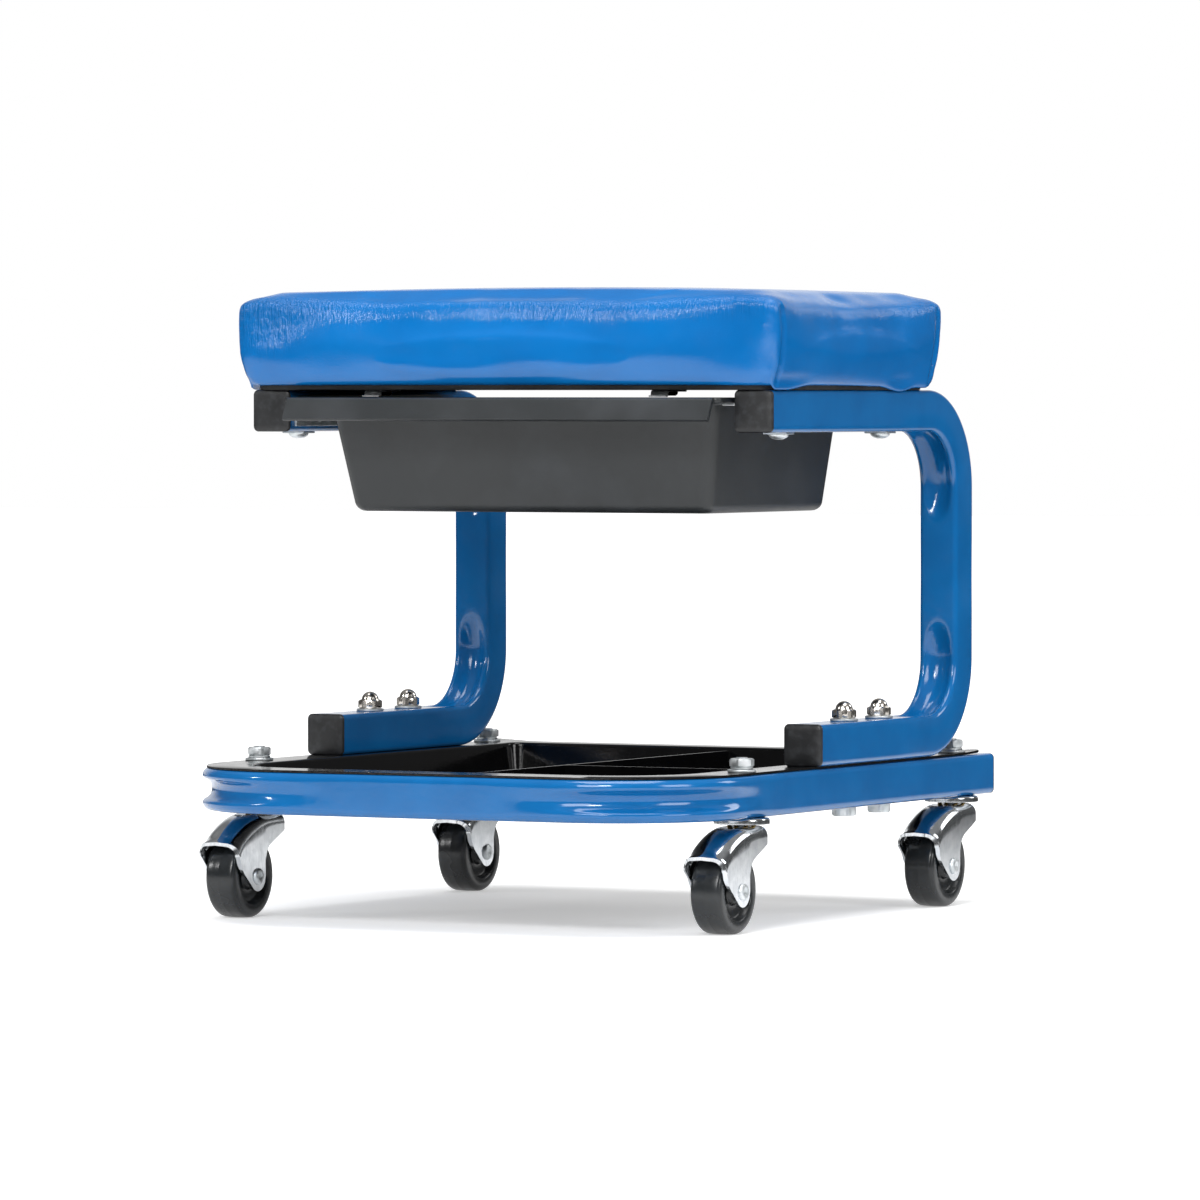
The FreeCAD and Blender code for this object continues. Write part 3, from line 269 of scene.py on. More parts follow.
@dataclass(frozen=True)
class MouldedPlastic(Finish):
    """Injection-moulded polypropylene: a satin spark-eroded skin with pale scuffs."""

    colour: str = "#2A2C2E"
    scuff: str = "#3A3C3E"
    scuff_size: float = 6.0
    roughness: tuple[float, float] = (0.38, 0.5)
    eroded: float = 0.9

    def dress(self, tree: bpy.types.NodeTree, shader: bpy.types.Node) -> None:
        """Fine eroded relief, drawn coarser than the real one so that it shows, and cloudy scuffs.

        Args:
            tree: the material's node tree.
            shader: its Principled shader.
        """
        scuffs = self.mottle(tree, self.scuff_size, detail=6.0)
        self.skin(tree, shader, scuffs, ((0.48, self.colour), (0.72, self.scuff)),
                  self.mottle(tree, self.eroded), 0.03, self.mottle(tree, self.scuff_size * 2),
                  self.roughness)
        shader.inputs["IOR"].default_value = 1.49


@dataclass(frozen=True)
class PlatedSteel(Finish):
    """Electroplated steel: bare metal colour with faint drawing marks and a cloudy brightness."""

    colour: str = "#C9CCD0"
    cloud: str = "#AEB4BA"
    roughness: tuple[float, float] = (0.2, 0.34)
    drawn: Place = (1, 1, 6)
    grain: float = 1.2
    depth: float = 0.02

    def dress(self, tree: bpy.types.NodeTree, shader: bpy.types.Node) -> None:
        """A clouded metal tone with stretched drawing marks in its relief and roughness.

        Args:
            tree: the material's node tree.
            shader: its Principled shader.
        """
        marks = self.mottle(tree, self.grain, self.drawn, 4.0)
        self.skin(tree, shader, self.mottle(tree, self.grain * 5), ((0.35, self.cloud), (0.65, self.colour)),
                  marks, self.depth, marks, self.roughness)
        shader.inputs["Metallic"].default_value = 1.0


@dataclass(frozen=True)
class FeltedFabric(Finish):
    """Spun-bonded non-woven cloth: matt black fibres pressed flat."""

    colour: str = "#0B0B0C"
    fibre: str = "#17181A"
    roughness: tuple[float, float] = (0.85, 0.85)

    def dress(self, tree: bpy.types.NodeTree, shader: bpy.types.Node) -> None:
        """Two crossed fibre noises, drawn coarser than real fibres so that they show.

        Args:
            tree: the material's node tree.
            shader: its Principled shader.
        """
        lengthwise = self.mottle(tree, 0.7, (5, 1, 1), 2.0)
        crosswise = self.mottle(tree, 0.7, (1, 5, 1), 2.0)
        crossed = add_node(tree, "ShaderNodeMath", {0: lengthwise, 1: crosswise}, operation="MAXIMUM")
        laid = crossed.outputs[0]
        self.skin(tree, shader, laid, ((0.45, self.colour), (0.7, self.fibre)), laid, 0.12, laid,
                  self.roughness)


@dataclass(frozen=True)
class Plywood(Finish):
    """Raw birch plywood: pale long grain on the faces and darker glue lines on the edge."""

    pale: str = "#C9A878"
    dark: str = "#8F6B42"
    veneer: float = 1.5
    roughness: tuple[float, float] = (0.7, 0.7)

    def dress(self, tree: bpy.types.NodeTree, shader: bpy.types.Node) -> None:
        """Long grain along X with a glue line between veneers up the edge.

        Args:
            tree: the material's node tree.
            shader: its Principled shader.
        """
        place = add_node(tree, "ShaderNodeTexCoord")
        layers = add_node(tree, "ShaderNodeTexWave", {
            "Vector": place.outputs["Object"], "Scale": per_metre(self.veneer) / 20, "Distortion": 0.6},
            bands_direction="Z")
        grain = self.mottle(tree, 2.5, (14, 1, 1), 5.0)
        mixed = add_node(tree, "ShaderNodeMath", {0: layers.outputs["Fac"], 1: grain}, operation="MULTIPLY")
        self.skin(tree, shader, mixed.outputs[0], ((0.1, self.dark), (0.5, self.pale)), grain, 0.1, grain,
                  self.roughness)


VINYL = GrainedVinyl("calendered_vinyl_blue", "blue_vinyl")
BLUE_COAT = PowderCoat("powder_coat_blue", "blue_paint")
BLACK_COAT = PowderCoat("powder_coat_black", "black_paint", "#0A0A0B", "#070708", 2.0, (0.1, 0.16), 0.0, 0.38)
BIN_PLASTIC = MouldedPlastic("moulded_polypropylene_bin", "bin_plastic", "#25282A", "#2E3134", 40.0)
CAP_PLASTIC = MouldedPlastic("moulded_polyethylene_cap", "black_plastic", "#18191B", "#2A2C2F", 5.0,
                             (0.34, 0.5))
WHEEL_PLASTIC = MouldedPlastic("moulded_nylon_wheel", "wheel_plastic", "#1F2224", "#282B2E", 16.0,
                               (0.2, 0.3), 1.4)
CHROME = PlatedSteel("bright_chrome_steel", "chrome_steel", "#D8DBDE", "#C8CCD0", (0.1, 0.2))
ZINC = PlatedSteel("bright_zinc_steel", "zinc_steel", "#DDE0E2", "#C3C9CB", (0.42, 0.54))
# The clips' zinc is ZINC painted lighter: painted light that brightens clips sitting in the seat's shade. It
# is also rougher, to spread the lamps' reflections.
LIGHTENED_CLIP_ZINC = PlatedSteel("dull_zinc_steel", "zinc_steel", "#E6E8EA", "#D0D4D6", (0.7, 0.82))
NICKEL = PlatedSteel("nickel_plated_steel", "nickel_steel", "#E0DBD4", "#CCC6BE", (0.16, 0.26))
BLACK_STEEL = PlatedSteel("black_oxide_steel", "black_steel", "#1C1C1D", "#121213", (0.35, 0.5))
GREASED_STEEL = PlatedSteel("greased_bearing_steel", "bearing_steel", "#B89C62", "#8A6E38", (0.2, 0.35))
FELT = FeltedFabric("spun_bonded_black_cloth", "black_fabric")
PLYWOOD = Plywood("raw_birch_plywood", "plywood")


class Shell:
    """Collects grids of points, in millimetres, and makes one finished mesh piece of them."""

    def __init__(self) -> None:
        """Starts with no surface."""
        self.points: list[Array] = []
        self.faces: list[list[int]] = []
        self.count = 0

    def add(self, points: Array) -> int:
        """Takes in points of any grid shape.

        Args:
            points: an array whose last axis is X, Y, Z.

        Returns:
            The index of the first of them.
        """
        first = self.count
        flat = points.reshape(-1, 3)
        self.points.append(flat)
        self.count += len(flat)
        return first

    @staticmethod
    def quads(rows: int, columns: int, wrap_rows: bool, wrap_columns: bool) -> Array:
        """Corner indices of the quads of a grid.

        Args:
            rows: points down the grid.
            columns: points across the grid.
            wrap_rows: whether the last row joins the first.
            wrap_columns: whether the last column joins the first.

        Returns:
            An array of four indices for each quad.
        """
        row = np.arange(rows if wrap_rows else rows - 1)[:, None]
        column = np.arange(columns if wrap_columns else columns - 1)[None, :]
        below, right = (row + 1) % rows, (column + 1) % columns
        corners = [row * columns + column, row * columns + right, below * columns + right,
                   below * columns + column]
        return np.stack(np.broadcast_arrays(*corners), axis=-1).reshape(-1, 4)

    def grid(self, points: Array, wrap_rows: bool = False, wrap_columns: bool = False,
             capped: bool = False) -> "Shell":
        """Adds one surface that is a grid of points.

        Args:
            points: rows by columns by 3.
            wrap_rows: whether the last row joins the first.
            wrap_columns: whether the last column joins the first.
            capped: whether the first and the last row are closed by a face each.

        Returns:
            The shell itself.
        """
        rows, columns = points.shape[:2]
        first = self.add(points)
        self.faces += (self.quads(rows, columns, wrap_rows, wrap_columns) + first).tolist()
        if capped:
            self.faces.append(list(range(first + columns - 1, first - 1, -1)))
            self.faces.append(list(range(first + (rows - 1) * columns, first + rows * columns)))
        return self

    def capped(self, rings: Array) -> "Shell":
        """Adds like rings in a row, with a face over each end."""
        return self.grid(rings, False, True, True)

    def looped(self, rings: Array) -> "Shell":
        """Adds like rings whose last one joins the first, as on a washer or an open tube."""
        return self.grid(rings, True, True)

    def slab(self, outer: Array, inner: Array) -> "Shell":
        """Adds a closed sheet of metal or cloth between two like grids.

        Args:
            outer: rows by columns by 3, the outer face.
            inner: the inner face, point for point.

        Returns:
            The shell itself.
        """
        rows, columns = outer.shape[:2]
        index = np.arange(rows * columns).reshape(rows, columns)
        rim = np.concatenate([index[0, :-1], index[:-1, -1], index[-1, :0:-1], index[:0:-1, 0]])
        first = self.add(np.stack([outer, inner]))
        other = first + rows * columns
        quads = self.quads(rows, columns, False, False)
        self.faces += (quads + first).tolist() + (quads[:, ::-1] + other).tolist()
        after = np.roll(rim, -1)
        self.faces += np.stack([after + first, rim + first, rim + other, after + other], axis=-1).tolist()
        return self

    def build(self, name: str, finish: Finish, node: str, bevel: float = 0.0,
              sharp: float = 38.0) -> bpy.types.Object:
        """Makes the collected surfaces one piece that stands for a CAD node.

        Args:
            name: the piece's name.
            finish: its finish.
            node: the CAD node that it stands for, whose body it rides on.
            bevel: width of the bevel on hard edges in millimetres, 0 for none.
            sharp: angle in degrees above which an edge stays hard.

        Returns:
            The new object.
        """
        mesh = bpy.data.meshes.new(name)
        mesh.from_pydata((np.concatenate(self.points) * MM).tolist(), [], self.faces)
        made = bmesh.new()
        made.from_mesh(mesh)
        bmesh.ops.remove_doubles(made, verts=made.verts, dist=WELD * MM)
        bmesh.ops.recalc_face_normals(made, faces=made.faces)
        made.to_mesh(mesh)
        made.free()
        mesh.polygons.foreach_set("use_smooth", np.ones(len(mesh.polygons), bool))
        piece = bpy.data.objects.new(name, mesh)
        bpy.context.scene.collection.objects.link(piece)
        if bevel:
            rounding = piece.modifiers.new("edge_rounding", "BEVEL")
            rounding.width = bevel * MM
            rounding.segments = 2
            rounding.limit_method = "ANGLE"
            rounding.angle_limit = math.radians(sharp)
            rounding.harden_normals = True
        else:
            mesh.set_sharp_from_angle(angle=math.radians(sharp))
        return dress_piece(piece, finish, node)


def coat(mesh: bpy.types.Mesh, finish: Finish) -> None:
    """Makes a finish the only material of a mesh."""
    mesh.materials.clear()
    mesh.materials.append(finish.material())


def dress_piece(piece: bpy.types.Object, finish: Finish, *nodes: str) -> bpy.types.Object:
    """Gives a finished piece its material and hangs it on the frame.

    Args:
        piece: the new object, in its place in the row frame.
        finish: its finish.
        nodes: the CAD nodes that it stands for, all on one body.

    Returns:
        The same object.
    """
    coat(piece.data, finish)
    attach(piece, BODY_OF[nodes[0]])
    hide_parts(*nodes)
    LOG.info("%s: %d faces, for %s", piece.name, len(piece.data.polygons), ", ".join(nodes))
    return piece


def in_mm(box: tuple) -> tuple[Array, Array]:
    """The lowest and the highest corner of a box from the frame, in millimetres."""
    low, high = box
    return np.array(low) / MM, np.array(high) / MM


def heights(box: tuple) -> tuple[float, float]:
    """The foot and the top of a box from the frame, in millimetres."""
    low, high = in_mm(box)
    return low[2], high[2]


def places_of(mesh: bpy.types.Mesh) -> Array:
    """Reads where the vertices of a mesh are.

    Args:
        mesh: the mesh.

    Returns:
        An array of count by 3, in metres.
    """
    flat = np.empty(len(mesh.vertices) * 3)
    mesh.vertices.foreach_get("co", flat)
    return flat.reshape(-1, 3)


def arc(centre: tuple[float, float], radius: float, start: float, end: float, count: int = 8) -> Array:
    """Points along a circle's arc.

    Args:
        centre: the circle's centre.
        radius: its radius.
        start: first angle in degrees.
        end: last angle in degrees.
        count: how many points.

    Returns:
        An array of count by 2.
    """
    turn = np.radians(np.linspace(start, end, count))
    return np.array(centre) + radius * np.stack([np.cos(turn), np.sin(turn)], axis=-1)


def rounded_outline(low: tuple[float, float], high: tuple[float, float], front: float,
                    rear: float | None = None, corner_points: int = 12, side_points: int = 14) -> Array:
    """A rectangle with rounded corners, with the same points for any size so that rings match.

    Args:
        low: lowest x and y.
        high: highest x and y.
        front: radius of the two low-y corners.
        rear: radius of the two high-y corners, or the same.
        corner_points: points on each corner's arc.
        side_points: points between two corners.

    Returns:
        The closed outline, anticlockwise from the start of the low-y side.
    """
    rear = front if rear is None else rear
    (x0, y0), (x1, y1) = low, high
    corners = [((x1 - front, y0 + front), front, -90), ((x1 - rear, y1 - rear), rear, 0),
               ((x0 + rear, y1 - rear), rear, 90), ((x0 + front, y0 + front), front, 180)]
    arcs = [arc(centre, radius, start, start + 90, corner_points) for centre, radius, start in corners]
    share = np.linspace(0, 1, side_points + 2)[1:-1, None]
    runs = []
    for before, after in zip([arcs[-1], *arcs[:-1]], arcs):
        runs += [before[-1] + (after[0] - before[-1]) * share, after]
    return np.concatenate(runs)


def at_height(outline: Array, height: float | Array) -> Array:
    """Lifts a flat outline to a height: x, y becomes x, y, z."""
    level = np.broadcast_to(np.asarray(height, float), outline.shape[:1])
    return np.concatenate([outline, level[:, None]], axis=1)


def along_x(profile: Array, across: Array) -> Array:
    """Carries a profile straight along X.

    Args:
        profile: count by 2, in Y and Z.
        across: places along X.

    Returns:
        Rows along the profile by columns across by 3.
    """
    line = np.broadcast_to(profile[:, None, :], (len(profile), len(across), 2))
    x = np.broadcast_to(across, line.shape[:2])
    return np.concatenate([x[:, :, None], line], axis=2)


def polar(radius: Array, turn: Array, z: Array) -> Array:
    """Points about the Z axis from their radius, angle and height."""
    return np.stack(np.broadcast_arrays(radius * np.cos(turn), radius * np.sin(turn), z), axis=-1)


def square_rings(half: float, corner: tuple[float, float], middle: tuple[float, float],
                 steps: list[tuple[float, float]]) -> Array:
    """Rounded squares one after another along Y, as of a plug or a cap on a square tube.

    Args:
        half: half the full square's width.
        corner: the full square's corner radius, and the least that a drawn-in one keeps.
        middle: X and Z of the squares' middle.
        steps: how far each square is drawn in, and its Y.

    Returns:
        Squares by points by 3.
    """
    rings = []
    for inset, y in steps:
        radius = max(corner[0] - inset, corner[1])
        x, z = rounded_outline((-half + inset,) * 2, (half - inset,) * 2, radius, None, 6, 5).T
        rings.append(np.stack([middle[0] + x, np.full(len(x), y), middle[1] + z], axis=-1))
    return np.stack(rings)


def bowl(radius: float, inset: float, floor: float) -> list[tuple[float, float]]:
    """The edge of a pressed or moulded floor: flat at first, then up round a bend.

    Args:
        radius: the bend's radius.
        inset: how far the wall above the bend is drawn in.
        floor: the floor's height.

    Returns:
        Pairs of how far a ring is drawn in and its height, from the floor up.
    """
    bend = [(inset + radius * (1 - math.sin(a)), floor + radius * (1 - math.cos(a))) for a in QUARTER]
    return [(inset + radius + FLAT_RING, floor), *bend]


def turned(profile: Array, axis: str, centre: Place, segments: int = 64) -> Array:
    """Carries a profile round an axis: each point is a place along the axis and a radius.

    Args:
        profile: count by 2, along the axis and out from it.
        axis: "X" or "Z".
        centre: the point on the axis from which the profile is measured.
        segments: points round the axis.

    Returns:
        Rows along the profile by columns round the axis by 3.
    """
    turn = np.linspace(0, 2 * math.pi, segments, endpoint=False)[None, :]
    along, out = profile[:, :1], profile[:, 1:]
    lengthwise = np.broadcast_to(along, (len(profile), segments))
    ring = [out * np.cos(turn), out * np.sin(turn)]
    order = [lengthwise, *ring] if axis == "X" else [*ring, lengthwise]
    return np.stack(order, axis=-1) + np.array(centre)


def soft_step(value: Array, edge: float) -> Array:
    """The positive part of a value with a rounded knee of about that size (a soft plus)."""
    return edge * np.logaddexp(0, value / edge)


def ease(value: Array, start: float, end: float) -> Array:
    """A smooth rise from 0 at start to 1 at end."""
    share = np.clip((value - start) / (end - start), 0, 1)
    return share * share * (3 - 2 * share)


@dataclass
class BentPath:
    """A flat path of straight runs with a bend to the left after each but the last."""

    start: tuple[float, float]
    heading: float
    runs: tuple[float, ...]
    radius: float

    @property
    def bend(self) -> float:
        """Length along one quarter bend."""
        return self.radius * math.pi / 2

    @property
    def length(self) -> float:
        """Length of the whole path."""
        return sum(self.runs) + self.bend * (len(self.runs) - 1)

    def stations(self, coarse: float, fine: float, margin: float) -> Array:
        """Places along the path, close together in the bends and near them.

        Args:
            coarse: step on plain runs.
            fine: step in and near the bends.
            margin: how far the fine step runs on past a bend.

        Returns:
            Lengths from the start of the path.
        """
        places = [np.linspace(0, self.length, round(self.length / coarse) + 1)]
        reached = 0.0
        for run in self.runs[:-1]:
            low, high = reached + run - margin, reached + run + self.bend + margin
            places = [p[(p < low) | (p > high)] for p in places]
            places.append(np.arange(low, high, fine))
            reached += run + self.bend
        return np.sort(np.concatenate(places))

    def at(self, places: Array) -> tuple[Array, Array]:
        """Where the path is at each place, and the direction to its left.

        Args:
            places: lengths from the start of the path.

        Returns:
            Points and left normals, both count by 2.
        """
        points, normals = np.zeros((len(places), 2)), np.zeros((len(places), 2))
        origin, angle, reached = np.array(self.start, float), math.radians(self.heading), 0.0
        for i, run in enumerate(self.runs):
            ahead = np.array([math.cos(angle), math.sin(angle)])
            left = np.array([-ahead[1], ahead[0]])
            here = places >= reached - 1e-6
            points[here] = origin + ahead * (places[here] - reached)[:, None]
            normals[here] = left
            origin, reached = origin + ahead * run, reached + run
            if i == len(self.runs) - 1:
                break
            turn = (places - reached) / self.radius
            here = turn > 0
            swept = turn[here][:, None]
            normals[here] = left * np.cos(swept) - ahead * np.sin(swept)
            points[here] = origin + left * self.radius - normals[here] * self.radius
            origin, reached = origin + (left + ahead) * self.radius, reached + self.bend
            angle += math.pi / 2
        return points, normals

    def centres(self) -> list[Array]:
        """The centre of each bend, which lies a radius to the left of where the bend starts.

        Returns:
            A point for each bend.
        """
        found, reached = [], 0.0
        for run in self.runs[:-1]:
            points, normals = self.at(np.array([reached + run]))
            found.append(points[0] + normals[0] * self.radius)
            reached += run + self.bend
        return found


def square_section(half: float, corner: float, flat_points: int = 17, corner_points: int = 6) -> Array:
    """The outline of a square tube: first axis to the left of the path, second across its plane."""
    return rounded_outline((-half, -half), (half, half), corner, None, corner_points, flat_points)


@dataclass
class SideTubes:
    """The two C-shaped side tubes, with hollows pressed into the insides of their bends, and their caps."""

    tube: float = 25.0
    wall: float = 1.5
    corner: float = 2.8
    bend_radius: float = 47.0
    dimple_depth: float = 5.0
    dimple_radius: float = 9.7
    lip: float = 0.8
    bulge: float = 0.5
    cap_plate: float = 2.0
    cap_pillow: float = 0.5
    cap_overhang: float = 0.15
    cap_corner: tuple[float, float] = (3.2, 0.8)

    def path(self, node: str) -> BentPath:
        """The middle of the tube in the Y, Z plane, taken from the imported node's box.

        Args:
            node: the side tube's CAD node.

        Returns:
            The path from the end of the lower arm to the end of the upper arm.
        """
        low, high = in_mm(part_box(node))
        caps = [np.array(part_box(node.replace("side_tube", f"{level}_cap"))[0]) / MM
                for level in ("lower", "upper")]
        starts = [cap[1] + self.cap_plate for cap in caps]
        half = self.tube / 2
        bend_y = high[1] - half - self.bend_radius
        height = high[2] - low[2] - self.tube - 2 * self.bend_radius
        return BentPath((starts[0], low[2] + half), 0.0, (bend_y - starts[0], height, bend_y - starts[1]),
                        self.bend_radius)

    def surface(self, path: BentPath, inset: float) -> Array:
        """The tube's wall: the square section carried along the path.

        Inside each bend the wall is pushed outward to a ring of round section about the bend's centre,
        with a soft lip where the two surfaces meet, and the side walls bulge a little there.

        Args:
            path: the tube's middle line.
            inset: 0 for the outside, the wall's thickness for the bore.

        Returns:
            Stations by section points by 3, with X measured from the tube's middle.
        """
        half, corner = self.tube / 2 - inset, self.corner - 0.8 * inset
        places = path.stations(9.0, 1.6, 24.0)
        points, normals = path.at(places)
        section = square_section(half, corner)
        left = np.broadcast_to(section[:, 0], (len(places), len(section))).copy()
        across = np.broadcast_to(section[:, 1], left.shape).copy()
        wall = points + normals * half
        press = self.dimple_radius + inset
        for centre in path.centres():
            reach = np.linalg.norm(wall - centre, axis=1)[:, None]
            ring = self.bend_radius - self.tube / 2 - self.dimple_radius + self.dimple_depth
            round_off = np.sqrt(np.clip(press ** 2 - across ** 2, 0, None))
            near = ease(-reach, -(self.bend_radius + 12), -(self.bend_radius - 4))
            inside = ease(left, half - corner - 1, half - 0.3)
            swollen = self.bulge * near * np.cos(np.pi / 2 * left / half)
            across += swollen * np.sign(across) * ease(np.abs(across), half - 1.5, half)
            left -= soft_step(ring + round_off - reach, self.lip) * inside * near
        flat = points[:, None, :] + normals[:, None, :] * left[:, :, None]
        return np.concatenate([across[:, :, None], flat], axis=2)

    def cap(self, y: float, x: float, z: float) -> Array:
        """The outside of a moulded end cap: a rounded square plate with a slightly pillowed face.

        Args:
            y: the front of the cap.
            x: its middle across.
            z: its middle in height.

        Returns:
            Rings from the tube's end to the middle of the face.
        """
        steps = [(1.0, self.cap_plate), (0.0, self.cap_plate - 0.2), (0.0, 1.0), (0.35, 0.35),
                 (1.1, 0.0), (4.0, -self.cap_pillow / 2), (9.0, -self.cap_pillow)]
        return square_rings(self.tube / 2 + self.cap_overhang, self.cap_corner, (x, z),
                            [(inset, y + depth) for inset, depth in steps])

    def build(self) -> None:
        """Makes both tubes and their four caps."""
        for side in Side:
            node = f"{side.word}_side_tube"
            low, high = in_mm(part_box(node))
            middle = np.array([(low[0] + high[0]) / 2, 0, 0])
            path = self.path(node)
            outer, inner = self.surface(path, 0.0), self.surface(path, self.wall)
            rim = np.concatenate([outer, inner[::-1]]) + middle
            Shell().looped(rim).build(f"{side.word}_tube", BLUE_COAT, node, sharp=50)
            for level in ("upper", "lower"):
                cap_node = f"{side.word}_{level}_cap"
                base, top = in_mm(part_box(cap_node))
                face = self.cap(base[1], *((base + top) / 2)[[0, 2]])
                Shell().capped(face).build(f"{side.word}_{level}_end_cap", CAP_PLASTIC, cap_node, sharp=60)


@dataclass
class BaseFrame:
    """The U of square tube under the tray, whose front bends have folded in along their outer wall."""

    tube: float = 25.0
    wall: float = 1.5
    corner: float = 3.4
    bend_radius: float = 67.5
    crush_depth: float = 7.0
    crush_radius: float = 6.6
    lip: float = 1.1
    lip_corner: float = 4.2
    plug_plate: float = 1.2
    plug_depth: float = 9.0
    plug_corner: tuple[float, float] = (3.0, 1.0)

    def surface(self, path: BentPath, inset: float) -> Array:
        """The tube's wall: the square section carried along the path.

        On the outside of each bend the wall is pushed in to a ring of round section whose circle is
        flatter than the bend, so the fold is deepest half-way round and runs out at both ends.  The
        corners beside the fold are drawn into full-round lips.

        Args:
            path: the tube's middle line in the X, Y plane.
            inset: 0 for the outside, the wall's thickness for the bore.

        Returns:
            Stations by section points by 3, with Z measured from the tube's middle.
        """
        half, outer = self.tube / 2 - inset, self.bend_radius + self.tube / 2
        places = path.stations(10.0, 1.8, 26.0)
        points, normals = path.at(places)
        plain = square_section(half, self.corner - 0.8 * inset)
        lipped = square_section(half, self.lip_corner - inset)
        in_bend = sum(ease(-np.linalg.norm(points - c, axis=1), -self.bend_radius - 20, -self.bend_radius)
                      for c in path.centres())[:, None, None] * (plain[:, :1] < 0)
        section = plain + (lipped - plain) * in_bend
        left, up = section[:, :, 0].copy(), section[:, :, 1]
        shift = self.crush_depth / (1 - math.cos(math.pi / 4))
        wall = points - normals * half
        press = self.crush_radius + inset
        for centre, sign in zip(path.centres(), (-1, 1)):
            diagonal = np.array([sign, -1]) / math.sqrt(2)
            reach = np.linalg.norm(wall - (centre - diagonal * shift), axis=1)[:, None]
            groove = outer - self.crush_depth + shift + self.crush_radius
            round_off = np.sqrt(np.clip(press ** 2 - up ** 2, 0, None))
            near = ease((wall - centre) @ diagonal, outer * 0.45, outer * 0.62)[:, None]
            outside = ease(-left, half - self.lip_corner, half - 1.0)
            left += soft_step(reach - groove + round_off, self.lip) * near * outside
        flat = points[:, None, :] + normals[:, None, :] * left[:, :, None]
        return np.concatenate([flat, up[:, :, None]], axis=2)

    def build(self) -> None:
        """Makes the tube and the thin plugs in its rear ends."""
        low, high = in_mm(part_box("base_frame"))
        half = self.tube / 2
        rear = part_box("left_base_plug")[1][1] / MM - self.plug_plate
        side = high[0] - half
        front = low[1] + half
        run = rear - front - self.bend_radius
        path = BentPath((-side, rear), -90.0, (run, 2 * (side - self.bend_radius), run), self.bend_radius)
        middle = np.array([0, 0, (low[2] + high[2]) / 2])
        outer, inner = self.surface(path, 0.0), self.surface(path, self.wall)
        rim = np.concatenate([outer, inner[::-1]]) + middle
        Shell().looped(rim).build("base_tube", BLUE_COAT, "base_frame", sharp=50)
        for which in Side:
            node = f"{which.word}_base_plug"
            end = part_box(node)[1][1] / MM
            steps = [(1.6, end - self.plug_depth), (1.6, rear), (0.1, rear), (0.0, rear + 0.3),
                     (0.0, end - 0.4), (0.4, end), (8.0, end)]
            plug = square_rings(half, self.plug_corner, (which.value * side, middle[2]), steps)
            Shell().capped(plug).build(f"{which.word}_tube_plug", CAP_PLASTIC, node, sharp=50)


